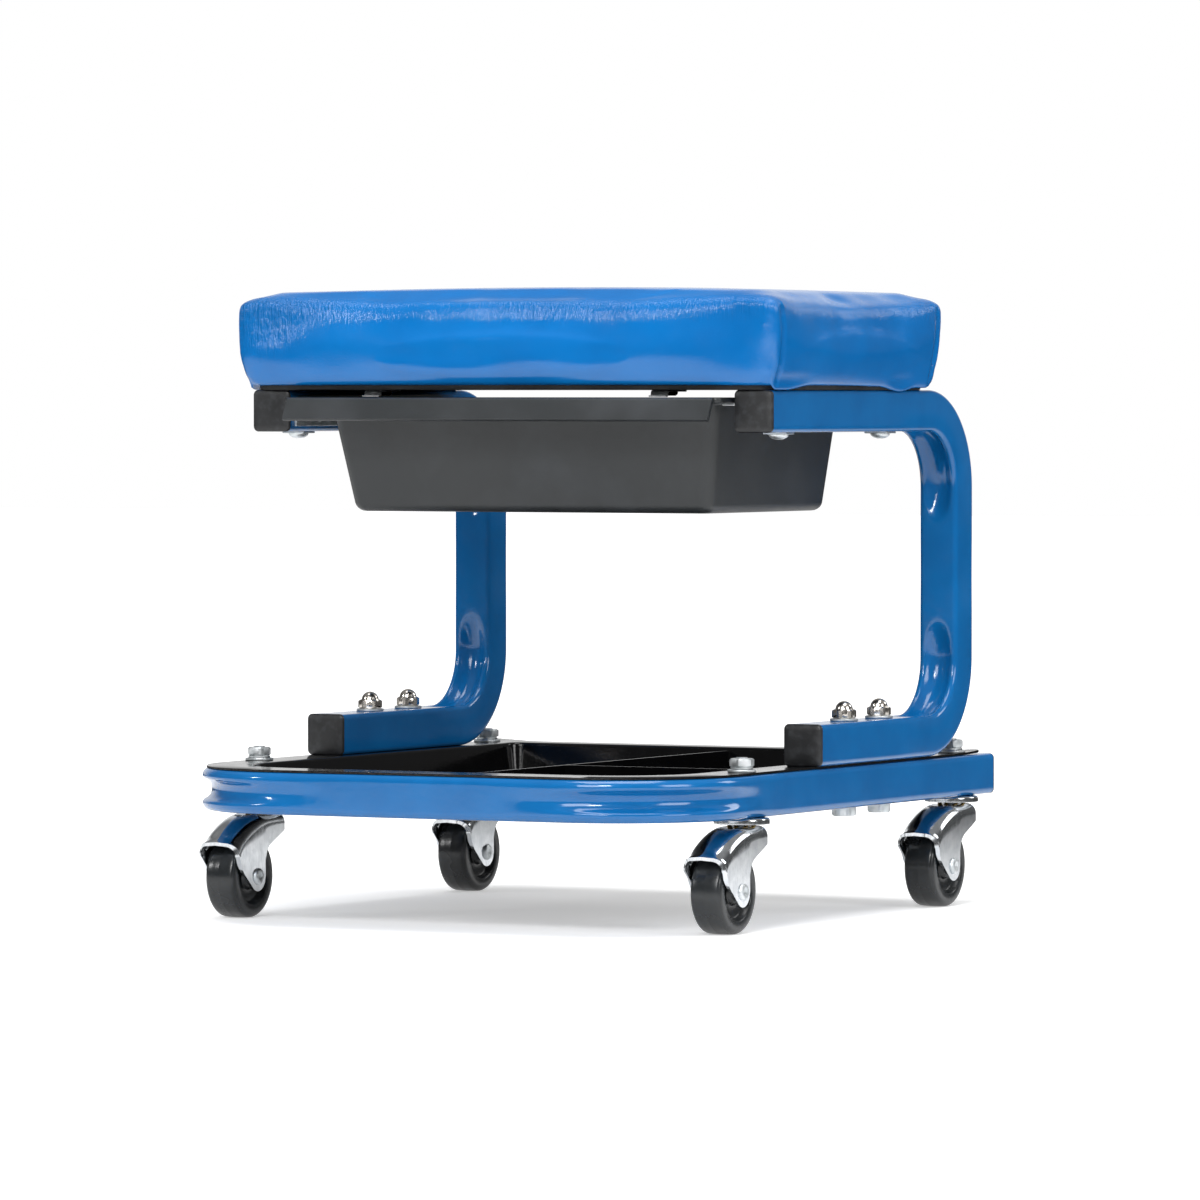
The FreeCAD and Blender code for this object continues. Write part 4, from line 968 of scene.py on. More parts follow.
@dataclass
class ToolTray:
    """The pressed tray that hangs by its flange on the base tube, with two L-shaped dividers."""

    sheet: float = 1.5
    flange_radius: tuple[float, float] = (77.0, 6.0)
    pan_side: float = 146.5
    pan_front: float = -185.6
    pan_rear: float = 183.0
    pan_radius: tuple[float, float] = (53.0, 9.0)
    draft: float = 2.0
    bend: float = 2.0
    floor_bend: float = 3.5
    lifted_corner: float = 1.4
    flange_edge: float = 0.25
    divider_gauge: float = 1.2
    divider_bend: float = 1.8

    def pan(self, inset: float) -> Array:
        """The pan's outline: a rectangle with larger corners at the front.

        Args:
            inset: how far it is drawn in.

        Returns:
            The closed outline.
        """
        front, rear = (max(radius - inset, 1.0) for radius in self.pan_radius)
        return rounded_outline((-self.pan_side + inset, self.pan_front + inset),
                               (self.pan_side - inset, self.pan_rear - inset), front, rear, 20, 14)

    def build(self) -> None:
        """Makes the tray as one closed surface from its floor over the flange and back underneath."""
        low, high = in_mm(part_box("tool_tray"))
        top, bottom = high[2], low[2]

        def flange(inset: float, height: float) -> Array:
            """The flange's edge with its rear corners sprung up a little.

            Args:
                inset: how far the edge is drawn in.
                height: its height away from those corners.

            Returns:
                The edge's ring of points.
            """
            outline = rounded_outline((low[0] + inset, low[1] + inset), (high[0] - inset, high[1] - inset),
                                      *self.flange_radius, 20, 14)
            spring = self.lifted_corner * ease(outline[:, 1], high[1] - 14, high[1]) \
                * ease(np.abs(outline[:, 0]), 140, high[0])
            return at_height(outline, height + spring)

        sheet, edge = self.sheet, self.flange_edge
        inner = bowl(self.floor_bend, sheet + self.draft, bottom + sheet)
        inner += [(sheet - self.bend * (1 - math.cos(a)), top - self.bend * (1 - math.sin(a)))
                  for a in QUARTER]
        outer = bowl(self.floor_bend + sheet, self.draft, bottom)
        outer += [(0.0, top - sheet - 0.4), (-0.4, top - sheet)]
        rings = [at_height(self.pan(inset), height) for inset, height in inner]
        rings += [flange(edge, top), flange(0.0, top - edge), flange(0.0, top - sheet + edge),
                  flange(edge, top - sheet)]
        rings += [at_height(self.pan(inset), height) for inset, height in reversed(outer)]
        Shell().capped(np.stack(rings)).build("pressed_tray", BLACK_COAT, "tool_tray", sharp=40)
        self.divider("tray_long_divider", "Y", -1)
        self.divider("tray_cross_divider", "X", 1)

    def divider(self, node: str, run: str, foot: int) -> None:
        """Makes one L-shaped divider: an upright sheet, a bend and a foot on the floor.

        Args:
            node: the divider's CAD node.
            run: the axis that it runs along, "X" or "Y".
            foot: which way the foot points across that axis.
        """
        low, high = in_mm(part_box(node))
        across = 0 if run == "Y" else 1
        face = high[across] if foot < 0 else low[across]
        toe = low[across] if foot < 0 else high[across]
        gauge, radius = self.divider_gauge, self.divider_bend
        heel = np.array([face + foot * radius, low[2] + radius])
        spread = arc((0, 0), 1.0, 180, 270, 6) * [foot, 1]
        outer_bend, inner_bend = heel + radius * spread, heel + (radius - gauge) * spread
        profile = np.concatenate([[[face, high[2]]], outer_bend, [[toe, low[2]], [toe, low[2] + gauge]],
                                  inner_bend[::-1], [[face + foot * gauge, high[2]]]])
        ends = []
        along = 1 - across
        for place in (low[along], high[along]):
            ring = np.zeros((len(profile), 3))
            ring[:, across], ring[:, along], ring[:, 2] = profile[:, 0], place, profile[:, 1]
            ends.append(ring)
        name = node.replace("tray_", "tray_sheet_")
        Shell().capped(np.stack(ends)).build(name, BLACK_COAT, node, bevel=0.25)


@dataclass
class DrawerBin:
    """The moulded bin with its rim and pull lip, its angle rails and the spring clips above it."""

    width: tuple[float, float] = (263.4, 241.6)
    front: float = -82.0
    rear: float = 89.5
    draft: tuple[float, float] = (12.7, 1.5)
    wall: float = 2.5
    corner: float = 8.0
    floor_radius: float = 5.0
    rim_sheet: float = 3.0
    rim_corner: float = 4.0
    rim_bend: float = 1.6
    lip_bend: float = 3.0
    skirt_height: float = 14.5
    skirt_slant: float = 7.5
    lip_overlap: float = 7.0
    rail_gauge: float = 1.5
    clip_gauge: float = 1.0
    clip_nose: float = 3.2
    clip_bends: tuple[float, float] = (1.6, 1.2)

    def outline(self, share: float, inset: float) -> Array:
        """The bin's outline a share of the way from the rim down to the floor, drawn in by inset."""
        half = (self.width[0] + (self.width[1] - self.width[0]) * share) / 2 - inset
        return rounded_outline((-half, self.front + self.draft[0] * share + inset),
                               (half, self.rear - self.draft[1] * share - inset),
                               max(self.corner - inset * 0.6, 1.0), None, 10, 14)

    def build(self) -> None:
        """Makes the bin as one closed surface: inside, rim and outside, and then its pull lip."""
        low, high = in_mm(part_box("drawer_bin"))
        top, bottom = high[2], low[2]
        height = top - bottom
        lip_front = low[1] + self.skirt_slant

        def ring(inset: float, z: float) -> Array:
            """The bin's wall at a height."""
            return at_height(self.outline((top - z) / height, inset), z)

        def rim(inset: float, z: float) -> Array:
            """The rim's outer edge at a height."""
            outline = rounded_outline((low[0] + inset, lip_front + self.lip_bend + inset),
                                      (high[0] - inset, high[1] - inset), self.rim_corner, None, 10, 14)
            return at_height(outline, z)

        radius, bend, sheet = self.floor_radius, self.rim_bend, self.rim_sheet
        rings = [ring(*step) for step in bowl(radius - self.wall + 1, self.wall, bottom + self.wall)]
        rings += [ring(self.wall - bend * (1 - math.cos(a)), top - bend * (1 - math.sin(a))) for a in QUARTER]
        rings += [rim(0.6, top), rim(0.15, top - 0.2), rim(0.0, top - 0.7), rim(0.0, top - sheet + 0.7),
                  rim(0.15, top - sheet + 0.2), rim(0.6, top - sheet)]
        rings += [ring(-bend * (1 - math.sin(a)), top - sheet - bend * (1 - math.cos(a))) for a in QUARTER]
        rings += [ring(*step) for step in reversed(bowl(radius, 0.0, bottom))]
        shell = Shell().capped(np.stack(rings))
        reach = high[0] - self.rim_corner
        shell.slab(*self.pull_lip(lip_front, top, reach))
        shell.build("moulded_bin", BIN_PLASTIC, "drawer_bin", sharp=40)
        for side in Side:
            self.rail(side)
            self.clip(side)

    def pull_lip(self, front: float, top: float, reach: float) -> tuple[Array, Array]:
        """The pull lip: a strip that runs forward from the rim, bends down and slants outward.

        Args:
            front: where the lip's bend begins to drop, in Y.
            top: the rim's top.
            reach: half the lip's width.

        Returns:
            The strip's outer and inner faces, as profile by width.
        """
        slant = math.atan2(self.skirt_slant, self.skirt_height)
        fall = np.array([-math.sin(slant), -math.cos(slant)])
        normal = np.array([-math.cos(slant), math.sin(slant)])
        turn = np.linspace(math.pi / 2, math.pi - slant, 7)
        spread = np.stack([np.cos(turn), np.sin(turn)], axis=-1)
        centre = np.array([front + self.lip_bend, top - self.lip_bend + 0.02])
        outer = [centre + [self.lip_overlap, self.lip_bend]]
        inner = [centre + [self.lip_overlap, self.lip_bend - self.wall]]
        outer += list(centre + self.lip_bend * spread)
        inner += list(centre + (self.lip_bend - self.wall) * spread)
        drop = (self.skirt_height - self.lip_bend) / math.cos(slant)
        for share in (0.5, 0.97):
            outer.append(centre + normal * self.lip_bend + fall * drop * share)
            inner.append(centre + normal * (self.lip_bend - self.wall) + fall * drop * share)
        outer.append(centre + normal * (self.lip_bend - 0.6) + fall * drop)
        inner.append(centre + normal * (self.lip_bend - self.wall + 0.6) + fall * drop)
        across = reach * np.concatenate([[-1], np.linspace(-0.995, 0.995, 40), [1]])
        return along_x(np.array(outer), across), along_x(np.array(inner), across)

    def rail(self, side: Side) -> None:
        """Makes the angle rail that carries the bin's rim: an L-shaped section carried along Y.

        Args:
            side: the rail's side.
        """
        node = f"{side.word}_drawer_rail"
        low, high = in_mm(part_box(node))
        gauge, s = self.rail_gauge, side.value
        back, toe = (high[0], low[0]) if s > 0 else (low[0], high[0])
        profile = np.array([[back, high[2]], [toe, high[2]], [toe, high[2] - gauge],
                            [back - s * gauge, high[2] - gauge], [back - s * gauge, low[2]], [back, low[2]]])
        ends = [np.insert(profile, 1, y, axis=1) for y in (low[1], high[1])]
        Shell().capped(np.stack(ends)).build(f"{side.word}_angle_rail", ZINC, node, bevel=0.3)

    def clip(self, side: Side) -> None:
        """Makes one spring clip: a strip under the board, a bend down and a nose curled forward.

        Args:
            side: the clip's side.
        """
        node = f"{side.word}_stop_clip"
        low, high = in_mm(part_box(node))
        half, nose = self.clip_gauge / 2, low[1] + self.clip_nose
        upper, lower = self.clip_bends
        line = np.concatenate([[[high[1], high[2] - half]],
                               arc((nose + upper, high[2] - upper - half), upper, 90, 180, 6),
                               arc((nose - lower, low[2] + lower + half), lower, 0, -90, 6),
                               [[low[1], low[2] + half]]])
        step = np.gradient(line, axis=0)
        normal = np.stack([-step[:, 1], step[:, 0]], axis=-1) / np.linalg.norm(step, axis=1, keepdims=True)
        across = np.linspace(low[0], high[0], 3)
        faces = [along_x(line + normal * offset, across) for offset in (half, -half)]
        # The clip's zinc is painted lighter than the other zinc parts, as painted light for its place in the
        # seat's shade.
        Shell().slab(*faces).build(f"{side.word}_spring_clip", LIGHTENED_CLIP_ZINC, node, bevel=0.2)


@dataclass
class Casters:
    """Four swivel casters: threaded stem, race plate, balls, pressed fork, riveted axle and wheel."""

    stem_radius: float = 4.0
    thread_pitch: float = 1.25
    thread_depth: float = 0.55
    stem_tip: float = 0.6
    button_radius: float = 6.5
    button_height: float = 3.0
    fork_half: float = 13.0
    fork_sheet: float = 2.0
    fork_top: float = 62.2
    fork_rear: float = 11.0
    rear_skirt: float = 9.5
    rear_bend: float = 3.0
    rear_corner: float = 4.0
    hood_start: float = 10.0
    lip_reach: float = 53.0
    lip_height: float = 44.5
    waist: float = 41.0
    lobe: float = 9.0
    trail: float = 24.0
    axle_height: float = 25.0
    lip_flare: float = 1.6
    lip_spread: float = 0.9
    lip_crown: float = 0.5
    shoulder: tuple[float, float] = (6.0, 10.0)
    waist_fillet: float = 7.0
    lip_drop: float = 6.5
    lip_sweep: float = 5.0
    wheel_radius: float = 25.0
    wheel_half: float = 10.0

    def roof(self, y: Array, inset: float) -> Array:
        """Height of the fork's top: flat over the race, then a circle down to the lip, which flares up.

        Args:
            y: places along the fork, from the swivel's axis to the rear.
            inset: 0 for the outer face, the sheet's thickness for the inner one.

        Returns:
            A height for each place.
        """
        drop = self.fork_top - self.lip_height
        run = self.lip_reach - self.hood_start
        radius = (run ** 2 + drop ** 2) / (2 * drop)
        past = np.clip(-y - self.hood_start, 0, None)
        curve = np.sqrt(radius ** 2 - past ** 2) - radius
        flare = self.lip_flare * ease(-y, self.lip_reach - 8, self.lip_reach) ** 2
        return self.fork_top - inset + curve + flare

    def lower_edge(self, y: Array) -> Array:
        """Height of the cheeks' lower edge: skirt, waist, round end at the axle and a line up to the lip.

        Args:
            y: places along the fork, from the swivel's axis to the rear.

        Returns:
            A height for each place.
        """
        skirt = self.fork_top - self.rear_skirt
        knee = -self.trail + self.lobe
        slope = (skirt - self.waist) / (self.fork_rear - knee)
        into = np.clip(self.waist_fillet - (y - knee), 0, self.waist_fillet)
        fillet = self.waist_fillet - np.sqrt(self.waist_fillet ** 2 - into ** 2)
        head = self.waist + slope * (y - knee) - fillet
        across, up = self.lip_reach - self.trail, self.lip_height - self.axle_height
        lean = math.atan2(up, -across) + math.acos(self.lobe / math.hypot(across, up))
        touch = (-self.trail + self.lobe * math.cos(lean), self.axle_height + self.lobe * math.sin(lean))
        end = self.axle_height - np.sqrt(np.clip(self.lobe ** 2 - (y + self.trail) ** 2, 0, None))
        rise = (self.lip_height - self.lip_drop - touch[1]) / (-self.lip_reach - touch[0])
        line = touch[1] + rise * (y - touch[0])
        return np.where(y > knee + 1e-6, head, np.where(y > touch[0], end, line))

    def fork_face(self, inset: float) -> Array:
        """One face of the pressed fork, as stations from rear to lip by points over the section.

        The section is an upside-down U whose shoulders grow rounder towards the lip.  Behind the race the
        top turns down into a short rear skirt with rounded corners.

        Args:
            inset: 0 for the outer face, the sheet's thickness for the inner one.

        Returns:
            Stations by 41 points by 3, about the swivel's axis.
        """
        knee = -self.trail + self.lobe
        rear, bend, corner = self.fork_rear - inset, self.rear_bend, self.rear_corner
        down = np.linspace(self.fork_top - self.rear_skirt + 0.3, self.fork_top - bend, 4)
        turn = np.radians(np.linspace(0, 90, 7))[1:]
        skirt = np.concatenate([np.full(len(down), rear), rear - bend * (1 - np.cos(turn))])
        y = np.concatenate([skirt, np.linspace(7, knee + 0.02, 14), np.linspace(knee, -self.lip_reach, 46)])
        top = np.concatenate([down, self.fork_top - bend + (bend - inset) * np.sin(turn),
                              self.roof(y[len(skirt):], inset)])
        low = np.minimum(self.lower_edge(y), top - 0.2)
        into = np.clip(y - (rear - corner), 0, corner)
        half = self.fork_half - inset - (corner - np.sqrt(corner ** 2 - into ** 2))
        half = half + self.lip_spread * ease(-y, self.lip_reach - 7, self.lip_reach)
        shoulder = np.minimum(self.shoulder[0] + (self.shoulder[1] - self.shoulder[0])
                              * ease(-y, 0, self.lip_reach - 8), (top - low) * 0.9)
        angle = np.radians(np.linspace(180, 90, 9))
        share = np.linspace(0, 1, 8)[None, :-1]
        cheek_z = low[:, None] + (top - shoulder - low)[:, None] * share
        cheek_x = np.broadcast_to(-half[:, None], cheek_z.shape)
        bend_x = -half[:, None] + shoulder[:, None] * (1 + np.cos(angle))
        bend_z = top[:, None] - shoulder[:, None] * (1 - np.sin(angle))
        crown = self.lip_crown * ease(-y, self.hood_start, self.lip_reach)[:, None]
        flat_x = (-half + shoulder)[:, None] * np.linspace(1, 0, 6)[None, 1:]
        flat_z = top[:, None] + crown * np.linspace(0, 1, 6)[None, 1:]
        x = np.concatenate([cheek_x, bend_x, flat_x], axis=1)
        z = np.concatenate([cheek_z, bend_z, flat_z], axis=1)
        x = np.concatenate([x, -x[:, -2::-1]], axis=1)
        z = np.concatenate([z, z[:, -2::-1]], axis=1)
        swept = self.lip_sweep * ease(-y, self.lip_reach - 14, self.lip_reach)[:, None] \
            * np.clip(np.abs(x) / self.fork_half, 0, 1) ** 4
        return np.stack([x, y[:, None] + swept, z], axis=-1)

    def wheel_profile(self) -> Array:
        """Half the wheel's section: boss, hollow web and rim with a rounded edge.

        Returns:
            Points along X and out, from the boss round to the middle of the tread.
        """
        half, radius = self.wheel_half, self.wheel_radius
        edge = arc((half - 3.2, radius - 3.4), 3.2, 0, 80, 9)
        return np.array([[10.7, 3.1], [10.7, 6.6], [10.3, 7.1], [6.4, 7.9], [6.0, 8.3], [6.0, 15.0],
                         [6.4, 15.6], [9.2, 16.7], [9.7, 17.0], [half, 17.6], *edge.tolist(),
                         [4.0, radius - 0.08], [0.35, radius - 0.02], [0.2, radius]])

    def axle_profile(self) -> Array:
        """Half the riveted axle's section, from its dimple to the middle of its shank."""
        return np.array([[13.9, 0.02], [14.0, 1.2], [14.5, 2.0], [14.8, 2.6], [14.8, 3.6], [14.5, 4.4],
                         [13.9, 4.9], [13.0, 5.0], [13.0, 3.0], [0.0, 3.0]])

    def stem_surface(self, low: float, high: float) -> Array:
        """A bar with a cut thread: the radius falls in a triangle wave along each turn of the helix.

        Args:
            low: lower end.
            high: upper end.

        Returns:
            Rows up the bar by columns round it by 3.
        """
        z = np.linspace(low, high, 70)[:, None]
        turn = np.linspace(0, 2 * math.pi, 32, endpoint=False)[None, :]
        wave = np.abs(((z / self.thread_pitch - turn / (2 * math.pi)) % 1) - 0.5) * 2
        cut = self.thread_depth * wave * ease(z, high - 9, high - 8)
        return polar(self.stem_radius - cut - self.stem_tip * ease(z, high - 0.7, high), turn, z)

    def race_profile(self) -> Array:
        """The race plate's section: a flat ring with a rounded, turned-down rim."""
        edge = arc((15.0, 65.5), 1.5, 90, 0, 6)
        return np.array([[64.8, 4.1], [67.0, 4.1], *edge[:, ::-1].tolist(), [63.5, 16.5], [63.3, 16.2],
                         [63.3, 15.2], [64.8, 15.0], [64.8, 9.6], [65.3, 7.7], [64.8, 5.8]])

    def build(self) -> None:
        """Makes every caster in its place at rest."""
        outer, inner = self.fork_face(0.0), self.fork_face(self.fork_sheet)
        half_wheel, half_axle = self.wheel_profile(), self.axle_profile()
        wheel = np.concatenate([half_wheel, half_wheel[::-1] * [-1, 1]])
        axle = np.concatenate([half_axle, half_axle[-2::-1] * [-1, 1]])
        for corner in ("front_left", "front_right", "rear_left", "rear_right"):
            low, high = in_mm(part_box(f"{corner}_stem"))
            foot = low[2] + self.button_height
            swivel = np.array([*((low + high) / 2)[:2], 0])
            hub = swivel + [0, -self.trail, self.axle_height]
            Shell().slab(outer + swivel, inner + swivel).build(f"{corner}_pressed_fork", CHROME,
                                                               f"{corner}_fork", bevel=0.35, sharp=48)
            Shell().looped(turned(wheel, "X", hub, 96)).build(
                f"{corner}_moulded_wheel", WHEEL_PLASTIC, f"{corner}_wheel", sharp=40)
            Shell().capped(turned(axle, "X", hub, 48)).build(
                f"{corner}_axle_rivet", ZINC, f"{corner}_axle", sharp=40)
            Shell().looped(turned(self.race_profile(), "Z", swivel, 80)).build(
                f"{corner}_race_plate", CHROME, f"{corner}_race", sharp=40)
            shell = Shell().capped(self.stem_surface(foot, high[2]) + swivel)
            button = np.array([[low[2], 0.5], [low[2], 5.6], [low[2] + 0.8, 6.4], [foot, self.button_radius],
                               [foot, 3.9], [foot + 0.2, 3.9]])
            shell.capped(turned(button, "Z", swivel, 40))
            shell.build(f"{corner}_threaded_stem", ZINC, f"{corner}_stem", sharp=35)
            coat(frame["nodes"][f"{corner}_balls"].data, GREASED_STEEL)


FASTENER_FINISH = {
    "caster_nuts": ZINC, "caster_washers": ZINC, "caster_lock_washers": ZINC, "frame_bolts": ZINC,
    "frame_washers": ZINC, "frame_dome_nuts": NICKEL, "seat_screws": ZINC, "seat_square_washers": ZINC,
    "clip_screws": BLACK_STEEL}


@dataclass
class Fasteners:
    """The bolts, screws, nuts and washers that hold the frame, the casters and the seat."""

    flats: float = 13.0
    chamfer: float = 30.0
    side_x: float = 163.0
    bolt_y: tuple[float, float] = (27.5, 75.7)
    screw_y: tuple[float, float] = (-61.0, 77.0)
    caster_y: tuple[float, float] = (-109.0, 179.0)
    nut_bore: float = 3.9
    washer_radius: float = 8.5
    washer_bore: float = 4.2
    washer_gauge: float = 1.6
    hex_height: float = 5.5
    bolt_radius: float = 4.0
    dome_radius: float = 5.3
    screw_head: float = 6.0
    screw_radius: float = 3.0
    square_half: float = 7.5

    def places(self, rows: tuple[float, float]) -> list[Array]:
        """The four places of a kind of fastener, on both sides."""
        return [np.array([side.value * self.side_x, y, 0.0]) for side in Side for y in rows]

    def hexagon(self, heights: list[tuple[float, float]], turn: float) -> Array:
        """A hexagon with turned-off corners: each section is the lesser of hexagon and circle.

        Args:
            heights: pairs of a height and the radius of the circle that limits the section there.
            turn: how far the hexagon is turned, in degrees.

        Returns:
            Rows up the axis by columns round it by 3.
        """
        angle = np.linspace(0, 2 * math.pi, 96, endpoint=False)
        sector = (angle - math.radians(turn)) % (math.pi / 3) - math.pi / 6
        flat = self.flats / 2 / np.cos(sector)
        z, limit = (np.array(v)[:, None] for v in zip(*heights))
        return polar(np.minimum(flat[None, :], limit), angle, z)

    def turned_off(self, share: float) -> tuple[float, float, float]:
        """How a hexagon's corners are turned off at an end.

        Args:
            share: the end face's radius as a share of half the distance over flats.

        Returns:
            The end face's radius, the radius over the corners and the height from one to the other.
        """
        inner, outer = self.flats / 2 * share, self.flats / 2 / math.cos(math.pi / 6)
        return inner, outer, (outer - inner) * math.tan(math.radians(self.chamfer))

    def nut(self, low: float, high: float) -> list[tuple[float, float]]:
        """Heights and limits of a plain nut from bore to bore, with both ends turned off."""
        inner, outer, rise = self.turned_off(0.96)
        return [(low, self.nut_bore), (low, inner), (low + rise, outer), (high - rise, outer), (high, inner),
                (high, self.nut_bore)]

    def washer(self, low: float, gauge: float) -> Array:
        """A flat ring with rolled edges, as a profile along Z and out."""
        soft, outer, bore = gauge * 0.25, self.washer_radius, self.washer_bore
        return np.array([[low, bore], [low, outer - soft], [low + soft, outer], [low + gauge - soft, outer],
                         [low + gauge, outer - soft], [low + gauge, bore]])

    def build(self) -> None:
        """Makes each kind of fastener as one piece of four."""
        nut_low, nut_high = heights(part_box("caster_nuts"))
        ring_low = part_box("caster_washers")[0][2] / MM
        lock_low, lock_high = heights(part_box("caster_lock_washers"))
        kinds = {node: Shell() for node in FASTENER_FINISH}
        for turn, spot in zip((8, 22, 41, 3), self.places(self.caster_y)):
            kinds["caster_nuts"].looped(self.hexagon(self.nut(nut_low, nut_high), turn) + spot)
            kinds["caster_washers"].looped(turned(self.washer(ring_low, self.washer_gauge), "Z", spot))
            kinds["caster_lock_washers"].grid(self.split_ring(lock_low, lock_high) + spot, wrap_rows=True)
        for turn, spot in zip((14, 35, 20, 5), self.places(self.bolt_y)):
            self.frame_bolt(kinds, turn, spot)
        for turn, spot in zip((10, 50, 75, 30), self.places(self.screw_y)):
            self.seat_screw(kinds, turn, spot)
        low, high = in_mm(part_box("clip_screws"))
        for side in Side:
            reach = (high[0] - low[0]) / 2 - 4.0
            spot = np.array([side.value * reach, (low[1] + high[1]) / 2, 0])
            head = np.array([[low[2], 0.2], [low[2], 2.6], [low[2] + 0.7, 3.6], [low[2] + 1.6, 4.0],
                             [low[2] + 2.4, 4.0], [low[2] + 2.4, 2.0], [high[2], 2.0], [high[2], 0.2]])
            kinds["clip_screws"].capped(turned(head, "Z", spot, 40))
        for node, shell in kinds.items():
            shell.build(node.replace("_", "_steel_", 1), FASTENER_FINISH[node], node, sharp=32)

    def split_ring(self, low: float, high: float) -> Array:
        """A spring washer: a square wire bent to one turn whose cut ends spring a little apart.

        Args:
            low: the washer's foot.
            high: its top.

        Returns:
            The wire's four edges by points round it by 3.
        """
        turn = np.radians(np.linspace(4, 356, 72))
        lift = (turn / (2 * math.pi) - 0.5) * 0.35
        mean, half = 5.4, 1.25
        base, top = low + 0.2, high - 0.2
        rows = [(mean - half, base), (mean + half, base), (mean + half, top), (mean - half, top)]
        return np.stack([polar(radius, turn, z + lift) for radius, z in rows])

    def frame_bolt(self, kinds: dict[str, Shell], turn: float, spot: Array) -> None:
        """Adds one hex bolt from below, with its washer and dome nut on the lower arm.

        Args:
            kinds: the shells that collect each kind of fastener.
            turn: how far the bolt and nut are turned, in degrees.
            spot: the bolt's axis.
        """
        bolt_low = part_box("frame_bolts")[0][2] / MM
        washer_low, washer_high = heights(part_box("frame_washers"))
        nut_low, nut_high = heights(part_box("frame_dome_nuts"))
        hex_top, head_top = nut_low + self.hex_height, bolt_low + self.hex_height
        inner, outer, rise = self.turned_off(0.95)
        bolt = [(bolt_low + 0.3, 0.3), (bolt_low + 0.3, 3.4), (bolt_low, 3.8), (bolt_low, inner),
                (bolt_low + rise, outer), (head_top, outer), (head_top, self.bolt_radius),
                (hex_top, self.bolt_radius), (hex_top, 0.3)]
        kinds["frame_bolts"].capped(self.hexagon(bolt, turn) + spot)
        ring = self.washer(washer_low, washer_high - washer_low)
        kinds["frame_washers"].looped(turned(ring, "Z", spot))
        dome = [(hex_top + (nut_high - hex_top) * up, self.dome_radius * out)
                for out, up in arc((0, 0), 1.0, 8, 88, 12)]
        nut = [(hex_top, 0.2), (hex_top, 4.05), (nut_low, 4.1), (nut_low, inner), (nut_low + rise, outer),
               (hex_top - rise, outer), (hex_top, inner), (hex_top, self.dome_radius + 0.2), *dome]
        kinds["frame_dome_nuts"].capped(self.hexagon(nut, turn + 11) + spot)

    def seat_screw(self, kinds: dict[str, Shell], turn: float, spot: Array) -> None:
        """Adds one pan-head screw up into the seat with its square washer.

        Args:
            kinds: the shells that collect each kind of fastener.
            turn: how far the washer is turned, in degrees.
            spot: the screw's axis.
        """
        low, high = heights(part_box("seat_screws"))
        plate_low, plate_high = heights(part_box("seat_square_washers"))
        dome = [[plate_low - (plate_low - low) * up, self.screw_head * out]
                for out, up in arc((0, 0), 1.0, 75, 12, 9)]
        recess = [[low + 1.2, 0.3], [low + 1.2, 1.3]]
        body = np.array([*recess, *dome, [plate_low, self.screw_head], [plate_low, self.screw_radius],
                         [high, self.screw_radius], [high, 0.3]])
        kinds["seat_screws"].capped(turned(body, "Z", spot, 48))
        outline = rounded_outline((-self.square_half,) * 2, (self.square_half,) * 2, 1.0, None, 4, 2)
        angle = math.radians(turn * 0.1)
        spin = np.array([[math.cos(angle), math.sin(angle)], [-math.sin(angle), math.cos(angle)]])
        rings = [at_height(outline @ spin * scale, z) + spot for scale, z in [
            (0.97, plate_low), (1.0, plate_low + 0.2), (1.0, plate_high - 0.2), (0.97, plate_high)]]
        kinds["seat_square_washers"].capped(np.stack(rings))


